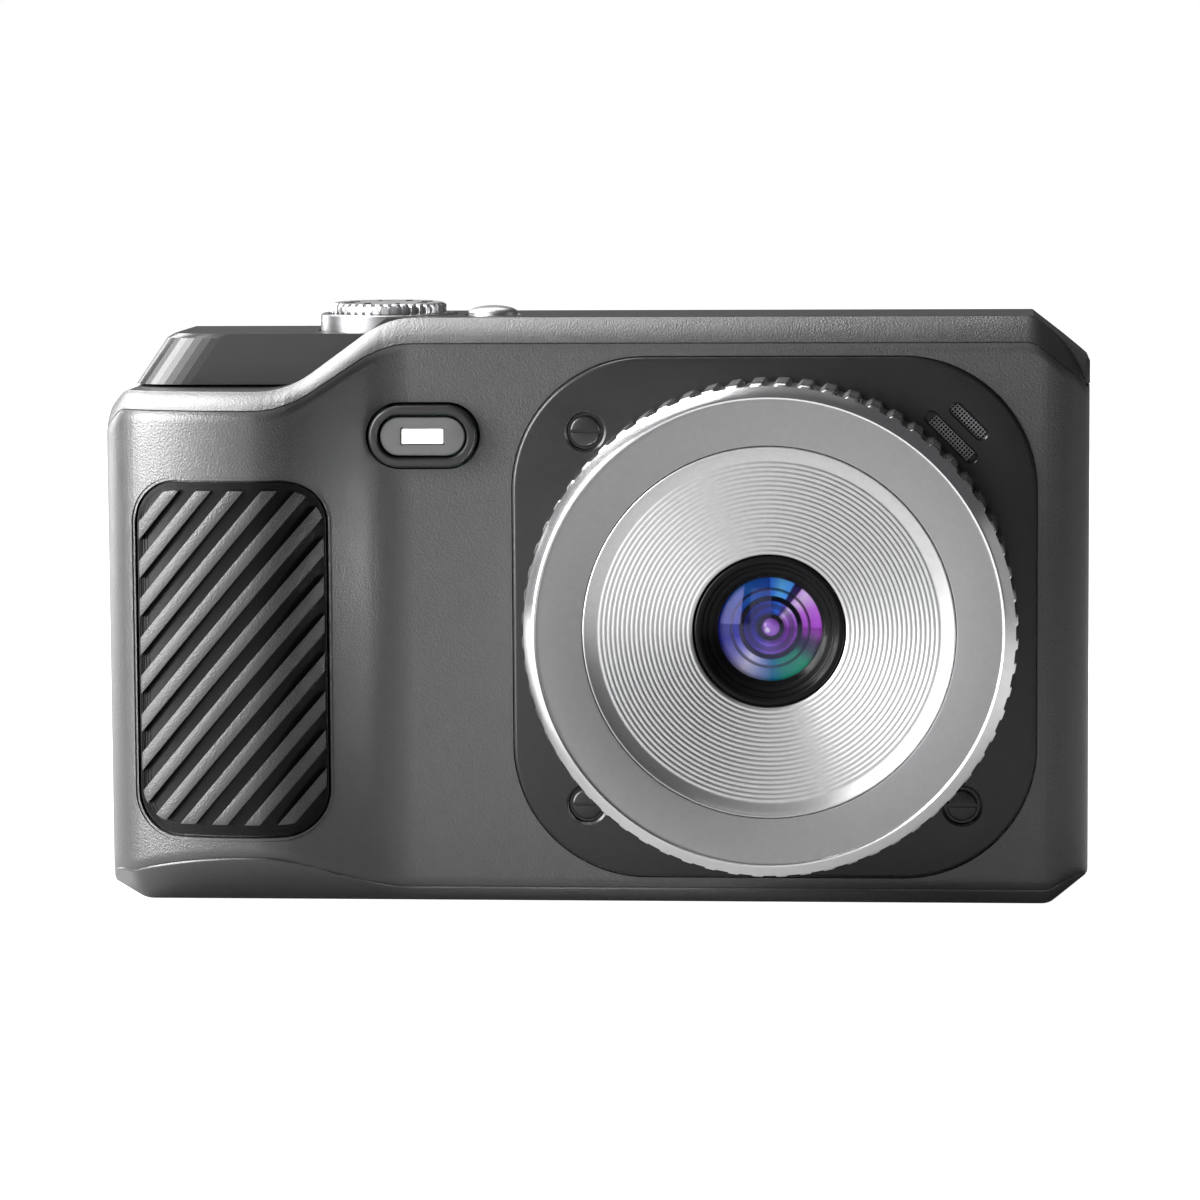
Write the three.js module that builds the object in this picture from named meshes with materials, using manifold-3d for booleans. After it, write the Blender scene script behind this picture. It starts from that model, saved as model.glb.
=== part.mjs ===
// A compact digital camera, as its separate pieces. Millimetres, +Z up, lens facing -Y.
// The origin is under the middle of the camera, on the surface that it stands on.
import * as THREE from "three";
import { mergeVertices } from "three/addons/utils/BufferGeometryUtils.js";
import Module from "manifold-3d";

const wasm = await Module();
wasm.setup();

// ---- driving dimensions ----
const GAP = 0.3; // clearance between neighbouring pieces
const WALL = 2.2; // shell thickness
const HALF_WIDTH = 55;
const PANEL_Y = -4.2; // flat front panel
const SEAM_Y = 5; // where the front and rear covers meet
const REAR_Y = 18.7; // back face of the rear cover
const BUTTON_Y = 19.3; // tops of the rear buttons
const SHELF_Z = 58.2; // top of the grip and of the rear cover
const LEFT_DECK_Z = 64.2; // deck under the mode dial
const RIGHT_DECK_Z = 66; // deck round the shutter button
const CAP_FRONT_Y = -0.4; // front wall of the top cover
const CEILING_Z = 56.2; // inner top of the main shells

const GRIP_PROUD = 8; // grip apex in front of the panel
const GRIP_APEX_X = -37.7;
const GRIP_APEX_Y = PANEL_Y - GRIP_PROUD;
const GRIP_FRONT_R = 29.5; // gentle crown of the grip's front
const GRIP_FRONT_SWEEP = THREE.MathUtils.degToRad(24);
const GRIP_SHOULDER_R = 8.9;
const GRIP_SLOPE = THREE.MathUtils.degToRad(35); // flank that runs down to the panel
const GRIP_FOOT_R = 9.8;
const GRIP_FOOT_X = -20.4;
const SIDE_R = 5.4; // panel's outer vertical edge

const FOOT_LINE_Y = -0.5; // front edge of the flat base
const UNDERCUT = 0.55; // rise of the bottom bevel for each mm forward
const BEVEL_DEPTH = 3.5; // top edge bevel, front to back
const GRIP_BEVEL = 1.9; // its height on the grip
const PANEL_BEVEL = 2.7; // and on the panel
const RAMP_START_X = -33.8; // top edge climbs from the grip to the panel
const RAMP_END_X = -23.4;

const LENS_X = 20;
const LENS_Z = 32.6;
const LENS_SIDES = 36;
const PLATE_SIZE = 58.2;
const PLATE_CORNER_R = 14.8;
const PLATE_FRONT_Y = -4.8;
const PLATE_THICK = 1.2;
const MOUNT_R = 21;
const RING_R = 27;
const RING_FRONT_Y = -19.3;
const RING_FACE_R = 25.4;
const RING_MOUTH_R = 20.3;
const BARREL_R = 8.2;
const BARREL_FRONT_Y = -17.2;
const SCREW_OFFSET = 20.9; // plate screws from the lens axis, each way

const FLASH_X = -19;
const FLASH_Z = 53;
const FLASH_LONG = 12.1;
const FLASH_TALL = 6.9;
const FLASH_FRONT_Y = -6.1;

const DIAL_X = -24.3;
const DIAL_Y = 8.6;
const DIAL_R = 6.6;
const DIAL_TEETH = 40;
const DIAL_TOP_Z = 67.4;
const COLLAR_R = 7.7;
const COLLAR_TOP_Z = 66.15;
const SHUTTER_X = -12.1;
const SHUTTER_Y = 6;
const SHUTTER_R = 2.8;

const PAD_X = [-50.9, -29.3];
const PAD_Z = [8.7, 48.6];
const PAD_CORNER_R = 5;
const RIB_PITCH = 2.8;
const RIB_WIDTH = 1.3;
const RIB_ANGLE = THREE.MathUtils.degToRad(49.5);

const BAY_X = [-51, -21]; // battery, upright in the grip
const BATTERY_Y = [1, 7];
const BATTERY_Z = [3.6, 43.6];
const CARD_X = [-46, -22];
const CARD_Y = [8.2, 10.3];
const CARD_Z = [3.6, 35.6];
const DOOR_X = [-51.2, -18.8];
const DOOR_Y = [0.2, 10.9];
const DOOR_Z = [0.2, 1.6];
const DOOR_AXIS_Y = 11.8;
const DOOR_AXIS_Z = 1.1;

const PORT_Y = [6.6, 13.2];
const PORT_Z = [22, 34];
const PORT_AXIS_X = 54.1;
const PORT_AXIS_Y = 14.2;

const SCREEN_X = [-14, 50];
const SCREEN_Z = [4.5, 54.5];
const KEYS_X = -34.5;
const KEYS_Z = 21;
const KEY_RING_R = 9;
const KEY_RING_BORE_R = 4.9;
const KEY_FLANGE_Y = [15.6, 16.2];

const TRIPOD_Y = 9.6;
const TRIPOD_BORE_R = 3.15;
const STRAP_SPOT = [53.4, 12.4];
const STRAP_R = 0.8;
const SPEAKER_Z = 7.3;

// ---- solids ----
function solid(geometry) {
  const bare = geometry.index ? geometry.toNonIndexed() : geometry.clone();
  const points = new THREE.BufferGeometry();
  points.setAttribute("position", bare.getAttribute("position"));
  const merged = mergeVertices(points, 1e-4);
  return new wasm.Manifold(
    new wasm.Mesh({
      numProp: 3,
      vertProperties: merged.getAttribute("position").array,
      triVerts: new Uint32Array(merged.index.array),
    }),
  );
}

function geometryOf(body) {
  const mesh = body.getMesh();
  const indexed = new THREE.BufferGeometry();
  indexed.setAttribute("position", new THREE.BufferAttribute(mesh.vertProperties, 3));
  indexed.setIndex(new THREE.BufferAttribute(mesh.triVerts, 1));
  const geometry = indexed.toNonIndexed();
  geometry.computeVertexNormals();
  return geometry;
}

function box([x0, x1], [y0, y1], [z0, z1]) {
  const geometry = new THREE.BoxGeometry(x1 - x0, y1 - y0, z1 - z0);
  geometry.translate((x0 + x1) / 2, (y0 + y1) / 2, (z0 + z1) / 2);
  return solid(geometry);
}

// A shape drawn in X and Z, pushed along Y.
function alongY(shape, [front, back], curveSegments = 8) {
  const options = { depth: back - front, bevelEnabled: false, curveSegments };
  const geometry = new THREE.ExtrudeGeometry(shape, options);
  geometry.rotateX(Math.PI / 2);
  geometry.translate(0, back, 0);
  return solid(geometry);
}

// A shape drawn in X and Y, pushed along Z.
function alongZ(shape, [low, high], curveSegments = 8) {
  const options = { depth: high - low, bevelEnabled: false, curveSegments };
  const geometry = new THREE.ExtrudeGeometry(shape, options);
  geometry.translate(0, 0, low);
  return solid(geometry);
}

// A shape drawn in Y and Z, pushed along X.
function alongX(shape, [left, right], curveSegments = 8) {
  const options = { depth: right - left, bevelEnabled: false, curveSegments };
  const geometry = new THREE.ExtrudeGeometry(shape, options);
  const turn = new THREE.Matrix4().set(0, 0, 1, 0, 1, 0, 0, 0, 0, 1, 0, 0, 0, 0, 0, 1);
  geometry.applyMatrix4(turn);
  geometry.translate(left, 0, 0);
  return solid(geometry);
}

// A profile of [radius, height] turned about Y, as on a lathe.
function turnedGeometry(profile, segments) {
  const points = profile.map(([radius, height]) => new THREE.Vector2(radius, height));
  if (THREE.ShapeUtils.isClockWise(points)) points.reverse();
  const endsOnAxis = points[0].x === 0 && points[points.length - 1].x === 0;
  if (!endsOnAxis) points.push(points[0].clone());
  return new THREE.LatheGeometry(points, segments);
}

function turnedY(profile, [x, z], segments = 32) {
  return solid(turnedGeometry(profile, segments).translate(x, 0, z));
}

function turnedZ(profile, [x, y], segments = 32) {
  const geometry = turnedGeometry(profile, segments).rotateX(Math.PI / 2);
  return solid(geometry.translate(x, y, 0));
}

function discY(radius, [front, back], [x, z], segments = 32) {
  const profile = [[0, front], [radius, front], [radius, back], [0, back]];
  return turnedY(profile, [x, z], segments);
}

function discZ(radius, [low, high], [x, y], segments = 32) {
  const profile = [[0, low], [radius, low], [radius, high], [0, high]];
  return turnedZ(profile, [x, y], segments);
}

function rodX(radius, [left, right], [y, z], segments = 12) {
  const geometry = new THREE.CylinderGeometry(radius, radius, right - left, segments);
  geometry.rotateZ(Math.PI / 2);
  return solid(geometry.translate((left + right) / 2, y, z));
}

function onLens(profile, segments = LENS_SIDES) {
  return turnedY(profile, [LENS_X, LENS_Z], segments);
}

// ---- outlines ----
function polygon(points) {
  return new THREE.Shape(points.map(([x, y]) => new THREE.Vector2(x, y)));
}

function roundedRect([x0, x1], [y0, y1], r) {
  const shape = new THREE.Shape();
  shape.absarc(x1 - r, y0 + r, r, -Math.PI / 2, 0);
  shape.absarc(x1 - r, y1 - r, r, 0, Math.PI / 2);
  shape.absarc(x0 + r, y1 - r, r, Math.PI / 2, Math.PI);
  shape.absarc(x0 + r, y0 + r, r, Math.PI, Math.PI * 1.5);
  shape.closePath();
  return shape;
}

function pill([x, y], length, height) {
  const halfLength = length / 2;
  const halfHeight = height / 2;
  const shape = new THREE.Shape();
  shape.absarc(x + halfLength - halfHeight, y, halfHeight, -Math.PI / 2, Math.PI / 2);
  shape.absarc(x - halfLength + halfHeight, y, halfHeight, Math.PI / 2, Math.PI * 1.5);
  shape.closePath();
  return shape;
}

// A slot with round ends, from one point to another.
function slot([x0, y0], [x1, y1], width) {
  const angle = Math.atan2(y1 - y0, x1 - x0);
  const shape = new THREE.Shape();
  shape.absarc(x1, y1, width / 2, angle - Math.PI / 2, angle + Math.PI / 2);
  shape.absarc(x0, y0, width / 2, angle + Math.PI / 2, angle + Math.PI * 1.5);
  shape.closePath();
  return shape;
}

// A toothed wheel: each tooth is a flat top and a flat root.
function toothed([x, y], teeth, tipR, rootR, duty = 0.5) {
  const points = [];
  const pitch = (2 * Math.PI) / teeth;
  for (let tooth = 0; tooth < teeth; tooth++) {
    const corners = [[0.1, tipR], [duty, tipR], [duty + 0.1, rootR], [1, rootR]];
    for (const [share, radius] of corners) {
      const angle = (tooth + share) * pitch;
      points.push([x + radius * Math.cos(angle), y + radius * Math.sin(angle)]);
    }
  }
  return polygon(points);
}

// Front of the camera in plan, left to right, moved inwards by inset.
function frontPath(inset) {
  const path = new THREE.Path();
  const frontCentreY = GRIP_APEX_Y + GRIP_FRONT_R;
  const sweepX = GRIP_APEX_X - GRIP_FRONT_R * Math.sin(GRIP_FRONT_SWEEP);
  const sweepY = frontCentreY - GRIP_FRONT_R * Math.cos(GRIP_FRONT_SWEEP);
  const cornerR = (sweepX + HALF_WIDTH) / (1 - Math.sin(GRIP_FRONT_SWEEP));
  const cornerX = sweepX + cornerR * Math.sin(GRIP_FRONT_SWEEP);
  const cornerY = sweepY + cornerR * Math.cos(GRIP_FRONT_SWEEP);
  const down = Math.PI * 1.5;
  path.absarc(cornerX, cornerY, cornerR - inset, Math.PI, down - GRIP_FRONT_SWEEP);
  path.absarc(GRIP_APEX_X, frontCentreY, GRIP_FRONT_R - inset, down - GRIP_FRONT_SWEEP, down);
  const shoulderY = GRIP_APEX_Y + GRIP_SHOULDER_R;
  path.absarc(GRIP_APEX_X, shoulderY, GRIP_SHOULDER_R - inset, down, down + GRIP_SLOPE);
  const footR = GRIP_FOOT_R + inset;
  const up = Math.PI / 2;
  path.absarc(GRIP_FOOT_X, PANEL_Y - GRIP_FOOT_R, footR, up + GRIP_SLOPE, up, true);
  const edgeX = HALF_WIDTH - SIDE_R;
  path.absarc(edgeX, PANEL_Y + SIDE_R, SIDE_R - inset, -Math.PI / 2, 0);
  return path.getPoints(2);
}

// Value of a broken line at x.
function lineAt(points, x) {
  const last = points[points.length - 1];
  if (x <= points[0].x) return points[0].y;
  if (x >= last.x) return last.y;
  const next = points.findIndex((point) => point.x > x);
  const a = points[next - 1];
  const b = points[next];
  return a.y + ((b.y - a.y) * (x - a.x)) / (b.x - a.x);
}

const vectors = (pairs) => pairs.map(([x, y]) => new THREE.Vector2(x, y));

// Lower and upper edges of the camera in front view.
const BASE_EDGE = vectors([[-HALF_WIDTH, 2], [-51.6, 0], [50.6, 0], [HALF_WIDTH, 3.6]]);
const TOP_EDGE = vectors([
  [-HALF_WIDTH, 55.7],
  [-52.5, SHELF_Z],
  [RAMP_START_X, SHELF_Z],
  [RAMP_START_X + 1.6, SHELF_Z + 0.5],
  [RAMP_END_X - 1.6, RIGHT_DECK_Z - 0.5],
  [RAMP_END_X, RIGHT_DECK_Z],
  [48.8, RIGHT_DECK_Z],
  [HALF_WIDTH, 61],
]);

// A closed body through cross-sections in Y and Z, one for each x.
function loft(stations, section) {
  const rings = stations.map((x) => section(x).map(([y, z]) => [x, y, z]));
  const size = rings[0].length;
  const positions = [];
  const addTriangle = (a, b, c) => positions.push(...a, ...b, ...c);
  for (let i = 0; i + 1 < rings.length; i++) {
    for (let j = 0; j < size; j++) {
      const k = (j + 1) % size;
      addTriangle(rings[i][j], rings[i][k], rings[i + 1][k]);
      addTriangle(rings[i][j], rings[i + 1][k], rings[i + 1][j]);
    }
  }
  const cap = (ring, flip) => {
    const flat = ring.map(([, y, z]) => new THREE.Vector2(y, z));
    for (const [a, b, c] of THREE.ShapeUtils.triangulateShape(flat, [])) {
      if (flip) addTriangle(ring[a], ring[c], ring[b]);
      else addTriangle(ring[a], ring[b], ring[c]);
    }
  };
  cap(rings[0], true);
  cap(rings[rings.length - 1], false);
  const geometry = new THREE.BufferGeometry();
  geometry.setAttribute("position", new THREE.Float32BufferAttribute(positions, 3));
  return solid(geometry);
}

function stationsOf(...lines) {
  const all = lines.flat().map((point) => point.x);
  const [low, high] = [lines[0][0].x, lines[0][lines[0].length - 1].x];
  const inside = all.filter((x) => x >= low && x <= high).sort((a, b) => a - b);
  return inside.filter((x, i) => i === 0 || x - inside[i - 1] > 0.05);
}

function bevelHeight(x) {
  const share = (x - RAMP_START_X) / (RAMP_END_X - RAMP_START_X);
  return THREE.MathUtils.lerp(GRIP_BEVEL, PANEL_BEVEL, THREE.MathUtils.clamp(share, 0, 1));
}

// Solid outer form of the front half, back to the seam.
function frontForm() {
  const front = frontPath(0);
  return loft(stationsOf(front, BASE_EDGE, TOP_EDGE), (x) => {
    const y = lineAt(front, x);
    const low = lineAt(BASE_EDGE, x);
    const high = lineAt(TOP_EDGE, x);
    const heel = Math.max(FOOT_LINE_Y, y + 0.4);
    const brow = Math.min(y + BEVEL_DEPTH, SEAM_Y - 0.4);
    return [
      [SEAM_Y, low],
      [SEAM_Y, high],
      [brow, high],
      [y, high - bevelHeight(x)],
      [y, low + UNDERCUT * (heel - y)],
      [heel, low],
    ];
  });
}

// Hollow of the front half, open at the seam.
function frontHollow() {
  const front = frontPath(WALL);
  return loft(stationsOf(front, BASE_EDGE), (x) => {
    const y = lineAt(front, x);
    const low = lineAt(BASE_EDGE, x) + WALL;
    const heel = Math.max(FOOT_LINE_Y + 0.6, y + 0.4);
    return [
      [SEAM_Y + 1, low],
      [SEAM_Y + 1, CEILING_Z],
      [y, CEILING_Z],
      [y, low + UNDERCUT * (heel - y)],
      [heel, low],
    ];
  });
}

// Everything behind the front path, for cutting pieces that follow the grip.
function behindFront(inset) {
  const points = frontPath(inset).map((point) => [point.x, point.y]);
  const right = HALF_WIDTH - inset;
  return alongZ(polygon([...points, [right, SEAM_Y], [inset - HALF_WIDTH, SEAM_Y]]), [4, 54]);
}

function padOutline(shrink) {
  const across = [PAD_X[0] + shrink, PAD_X[1] - shrink];
  const upright = [PAD_Z[0] + shrink, PAD_Z[1] - shrink];
  return alongY(roundedRect(across, upright, PAD_CORNER_R - shrink), [-20, -2], 4);
}

const SCREW_SPOTS = [[-1, 1], [-1, -1], [1, -1]].map(([sx, sz]) => [
  LENS_X + sx * SCREW_OFFSET,
  LENS_Z + sz * SCREW_OFFSET,
]);

const COVER_SCREWS = [[44, 12], [-5, 12]]; // on the base
const COVER_SCREW_R = 1.5;
const PLATE_SCREW_R = 1.7;
const ROUND_KEY_R = 2.6;
const OK_KEY_R = 3.7;

// ---- shells ----
function frontCover() {
  const upperBack = box([-60, 60], [CAP_FRONT_Y - GAP, SEAM_Y + 1], [SHELF_Z, 70]);
  let body = frontForm().subtract(upperBack).subtract(frontHollow());
  const neck = box([-50, 50], [CAP_FRONT_Y + WALL, SEAM_Y + 1], [CEILING_Z - 1, SHELF_Z + 1]);
  body = body.subtract(neck);
  const padPocket = padOutline(0).subtract(behindFront(1.5));
  body = body.subtract(padPocket);
  const recess = plateOutline(GAP);
  body = body.subtract(alongY(recess, [-8, PLATE_FRONT_Y + PLATE_THICK + GAP], 6));
  body = body.subtract(discY(MOUNT_R + 0.4, [-8, 0], [LENS_X, LENS_Z], LENS_SIDES));
  for (const spot of SCREW_SPOTS) body = body.subtract(discY(1.1, [-8, 0], spot, 8));
  const flashHole = pill([FLASH_X, FLASH_Z], FLASH_LONG + 2 * GAP, FLASH_TALL + 2 * GAP);
  body = body.subtract(alongY(flashHole, [-12, 1], 6));
  body = body.subtract(doorHole());
  return body;
}

function plateOutline(grow) {
  const half = PLATE_SIZE / 2 + grow;
  const across = [LENS_X - half, LENS_X + half];
  return roundedRect(across, [LENS_Z - half, LENS_Z + half], PLATE_CORNER_R + grow);
}

// Opening in the base for the battery door, its hinge and the latch's keeper.
function doorHole() {
  const across = [DOOR_X[0] - GAP, DOOR_X[1] + GAP];
  const opening = box(across, [DOOR_Y[0] - GAP, DOOR_AXIS_Y + 1.2], [-1, WALL + 2]);
  const pinBores = rodX(0.75, [across[0] - 1.1, across[1] + 1.6], [DOOR_AXIS_Y, DOOR_AXIS_Z], 8);
  const keeper = box([-38.4, -31.6], [-1, DOOR_Y[0]], [0.6, 1.5]);
  return opening.add(pinBores).add(keeper);
}

function rearCover() {
  const edgeR = 4;
  const path = new THREE.Path();
  path.absarc(edgeR - HALF_WIDTH, REAR_Y - edgeR, edgeR, Math.PI, Math.PI / 2, true);
  path.absarc(HALF_WIDTH - edgeR, REAR_Y - edgeR, edgeR, Math.PI / 2, 0, true);
  const back = path.getPoints(2);
  const leftTop = vectors([[-HALF_WIDTH, 55.7], [-52.5, SHELF_Z], [HALF_WIDTH, SHELF_Z]]);
  const seam = SEAM_Y + GAP;
  const lowerBevel = 1.6;
  const section = (inset, top) => (x) => {
    const y = lineAt(back, x) - inset;
    const low = lineAt(BASE_EDGE, x) + inset;
    const start = inset > 0 ? seam - 1 : seam;
    const high = Math.min(lineAt(leftTop, x), top);
    return [
      [start, low],
      [y - lowerBevel, low],
      [y, low + lowerBevel],
      [y, high],
      [start, high],
    ];
  };
  const outer = loft(stationsOf(back, BASE_EDGE, leftTop), section(0, SHELF_Z));
  const innerX = [-HALF_WIDTH + WALL, -50, -30, 0, 30, 50, HALF_WIDTH - WALL];
  const inner = loft(innerX, section(WALL - 0.2, CEILING_Z));
  let body = outer.subtract(inner);
  body = body.add(box([49.4, 54], [8.8, 16.8], [45.4, 55.4]).intersect(outer));
  body = body.subtract(box([-50, 50], [seam - 1, 15.5], [CEILING_Z - 1, SHELF_Z + 1]));
  body = body.subtract(box([51, 56], [10.4, 14.4], [47.4, 53.2]));
  body = body.subtract(discZ(STRAP_R + GAP, [46.4, 54.2], STRAP_SPOT, 10));
  body = body.subtract(alongY(screenOutline(GAP), [REAR_Y - 1.5, REAR_Y + 1], 4));
  body = body.subtract(box([-10.6, 46.6], [12, REAR_Y + 1], [8, 51]));
  for (const spot of ROUND_KEYS) body = body.subtract(discY(ROUND_KEY_R + GAP, [15, 20], spot, 16));
  body = body.subtract(discY(KEY_RING_R + GAP, [15, 20], [KEYS_X, KEYS_Z], 24));
  body = body.subtract(alongY(pill(ROCKER_SPOT, 13.6, 5.6), [15, 20], 3));
  for (const offset of [-2.4, -1.2, 0, 1.2, 2.4]) {
    body = body.subtract(discY(0.5, [15, 20], [KEYS_X + offset, SPEAKER_Z], 6));
  }
  body = body.subtract(portHole());
  body = body.subtract(doorHole());
  body = body.subtract(discZ(4.3, [-1, 4], [LENS_X, TRIPOD_Y], 24));
  for (const spot of COVER_SCREWS) {
    body = body.subtract(discZ(COVER_SCREW_R + GAP, [-1, 1.1], spot, 16));
    body = body.subtract(discZ(1, [-1, 4], spot, 12));
  }
  return body;
}

function screenOutline(grow) {
  const across = [SCREEN_X[0] - grow, SCREEN_X[1] + grow];
  return roundedRect(across, [SCREEN_Z[0] - grow, SCREEN_Z[1] + grow], 2.5);
}

const ROUND_KEYS = [[-45.5, 38], [-23.5, 38]];
const ROCKER_SPOT = [-34.5, 48.5];

// Recess for the port cover, its hinge and the socket's mouth behind it.
function portHole() {
  const upright = [PORT_Z[0] - GAP, PORT_Z[1] + GAP];
  const recess = box([53, 56], [PORT_Y[0] - GAP, PORT_AXIS_Y + 1.2], upright);
  const mouth = box([50, 56], [7.6, 12.2], [24.6, 31.4]);
  const bores = discZ(0.7, [upright[0] - 1, upright[1] + 1], [PORT_AXIS_X, PORT_AXIS_Y], 12);
  return recess.add(mouth).add(bores);
}

function topCover() {
  const foot = SHELF_Z + GAP;
  const outline = (d) => [
    [-52.4 + 1.2 * d, foot - (d ? 1 : 0)],
    [HALF_WIDTH - d, foot - (d ? 1 : 0)],
    [HALF_WIDTH - d, 61 - 0.4 * d],
    [48.8 - 0.3 * d, RIGHT_DECK_Z - d],
    [RAMP_END_X - 0.3 * d, RIGHT_DECK_Z - d],
    [-25.8 - 0.3 * d, LEFT_DECK_Z - d],
    [-47.9, LEFT_DECK_Z - d],
    [-48.8 + 0.5 * d, LEFT_DECK_Z - 0.5 - d],
  ];
  const rearEdge = 2.6;
  const sides = (d) => {
    const left = -HALF_WIDTH + d;
    const right = HALF_WIDTH - d;
    const back = REAR_Y - d;
    const front = CAP_FRONT_Y + d;
    const corner = 3;
    return polygon([
      [left, front],
      [right - 0.4, front],
      [right, front + 0.4],
      [right, back - corner],
      [right - 0.8, back - 1],
      [right - corner, back],
      [left + corner, back],
      [left + 0.8, back - 1],
      [left, back - corner],
    ]);
  };
  const form = (d) => {
    const block = alongY(polygon(outline(d)), [CAP_FRONT_Y + d, REAR_Y - d]);
    return block.intersect(alongZ(sides(d), [50, 70]));
  };
  const bevel = polygon([
    [REAR_Y - rearEdge, RIGHT_DECK_Z],
    [REAR_Y + 1, RIGHT_DECK_Z - rearEdge - 1],
    [REAR_Y + 1, RIGHT_DECK_Z + 1],
    [REAR_Y - rearEdge, RIGHT_DECK_Z + 1],
  ]);
  const outer = form(0);
  let body = outer.subtract(form(WALL));
  body = body.subtract(alongX(bevel, [-60, 60]));
  body = body.add(discZ(4.4, [60.4, 64.6], [SHUTTER_X, SHUTTER_Y], 20));
  body = body.add(discZ(COLLAR_R + 1.6, [61.4, 63.6], [DIAL_X, DIAL_Y], 24).intersect(outer));
  body = body.subtract(discZ(COLLAR_R + GAP, [63.6, 70], [DIAL_X, DIAL_Y], 32));
  body = body.subtract(discZ(2.4, [58, 70], [DIAL_X, DIAL_Y], 12));
  body = body.subtract(discZ(SHUTTER_R + GAP, [62, 70], [SHUTTER_X, SHUTTER_Y], 24));
  body = body.subtract(discZ(1.5, [58, 70], [SHUTTER_X, SHUTTER_Y], 16));
  return body;
}

// ---- grip ----
function gripPad() {
  const skin = padOutline(GAP).intersect(behindFront(0.85)).subtract(behindFront(1.2));
  const middle = [(PAD_X[0] + PAD_X[1]) / 2, (PAD_Z[0] + PAD_Z[1]) / 2];
  const along = [Math.cos(RIB_ANGLE), Math.sin(RIB_ANGLE)];
  const across = [-along[1], along[0]];
  const layer = padOutline(GAP + 0.6).intersect(behindFront(0.2)).subtract(behindFront(1));
  const reach = 40;
  let body = skin;
  for (let step = -7; step <= 7; step++) {
    const [low, high] = [step * RIB_PITCH - RIB_WIDTH / 2, step * RIB_PITCH + RIB_WIDTH / 2];
    const corner = (run, rise) => [
      middle[0] + along[0] * run + across[0] * rise,
      middle[1] + along[1] * run + across[1] * rise,
    ];
    const bar = polygon([
      corner(-reach, low),
      corner(reach, low),
      corner(reach, high),
      corner(-reach, high),
    ]);
    body = body.add(alongY(bar, [-20, -2]).intersect(layer));
  }
  return body;
}

// ---- lens and its mount ----
const LONG_SLOT = [[17.4, 22.4], [21.8, 18.0]];
const SHORT_SLOT = [[20.2, 23.3], [22.9, 20.6]];

function lensPlate() {
  const back = PLATE_FRONT_Y + PLATE_THICK;
  let body = alongY(plateOutline(0), [PLATE_FRONT_Y, back], 6);
  body = body.subtract(discY(MOUNT_R + 0.4, [-8, 0], [LENS_X, LENS_Z], LENS_SIDES));
  for (const spot of SCREW_SPOTS) {
    body = body.subtract(discY(PLATE_SCREW_R + GAP, [-8, PLATE_FRONT_Y + 0.6], spot, 12));
    body = body.subtract(discY(1.1, [-8, 0], spot, 8));
  }
  for (const [[x0, z0], [x1, z1]] of [LONG_SLOT, SHORT_SLOT]) {
    const opening = slot([LENS_X + x0, LENS_Z + z0], [LENS_X + x1, LENS_Z + z1], 1.25);
    body = body.subtract(alongY(opening, [-8, 0], 4));
  }
  return body.subtract(alongY(meshOutline(1), [PLATE_FRONT_Y + 0.5, 0]));
}

// A square on its corner, behind both slots.
function meshOutline(grow) {
  const [x, z] = [LENS_X + 20.6, LENS_Z + 21];
  const reach = 4.4 + grow;
  return polygon([[x, z - reach], [x + reach, z], [x, z + reach], [x - reach, z]]);
}

function microphoneMesh() {
  return alongY(meshOutline(0), [PLATE_FRONT_Y + 0.7, PLATE_FRONT_Y + PLATE_THICK]);
}

function plateScrew([x, z]) {
  const head = discY(PLATE_SCREW_R, [PLATE_FRONT_Y, PLATE_FRONT_Y + 0.5], [x, z], 14);
  const shank = discY(0.8, [PLATE_FRONT_Y + 0.4, -1.4], [x, z], 8);
  const drive = box([x - 2, x + 2], [-6, PLATE_FRONT_Y + 0.25], [z - 0.2, z + 0.2]);
  return head.add(shank).subtract(drive);
}

function lensMount() {
  return onLens([
    [MOUNT_R, -17.5],
    [MOUNT_R, -1.7],
    [23.6, -1.7],
    [23.6, 0.9],
    [BARREL_R + GAP, 0.9],
    [BARREL_R + GAP, -0.6],
    [18.5, -0.6],
    [18.5, -17.5],
  ]);
}

function controlRing() {
  const back = PLATE_FRONT_Y - 0.4;
  const profile = [
    [MOUNT_R + GAP, back],
    [RING_R, back],
    [RING_R, RING_FRONT_Y + 1.7],
    [RING_R - 0.25, RING_FRONT_Y + 1.3],
    [RING_FACE_R, RING_FRONT_Y],
    [RING_MOUTH_R, RING_FRONT_Y],
    [RING_MOUTH_R, -17.8],
    [MOUNT_R + GAP, -17.8],
  ];
  return onLens(profile, 48);
}

function lensBezel() {
  const rimR = 19.9;
  return onLens([
    [rimR, -17.8],
    [rimR, -18.9],
    [19.6, -19.1],
    [19.2, -18.9],
    [BARREL_R + GAP, -17.3],
    [BARREL_R + GAP, -15.5],
    [18.2, -15.5],
    [18.2, -17.8],
  ]);
}

function lensBarrel() {
  return onLens([
    [BARREL_R, BARREL_FRONT_Y + 0.3],
    [BARREL_R - 0.3, BARREL_FRONT_Y],
    [7.5, BARREL_FRONT_Y],
    [7, BARREL_FRONT_Y + 0.8],
    [6.4, BARREL_FRONT_Y + 0.9],
    [6, -15.4],
    [5.7, -15.3],
    [5.7, -14.7],
    [6.6, -14.7],
    [6.6, 2.6],
    [BARREL_R, 2.6],
  ], 28);
}

// A round lens with a domed or hollow face at each side.
function lensElement(radius, front, back, frontSag, backSag) {
  const steps = 3;
  const profile = [];
  for (let i = 0; i <= steps; i++) {
    const share = i / steps;
    profile.push([radius * share, front + frontSag * share * share]);
  }
  for (let i = steps; i >= 0; i--) {
    const share = i / steps;
    profile.push([radius * share, back - backSag * share * share]);
  }
  return onLens(profile, 20);
}

function ringPiece(outer, inner, front, back) {
  return onLens([[outer, front], [outer, back], [inner, back], [inner, front]], 20);
}

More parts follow.
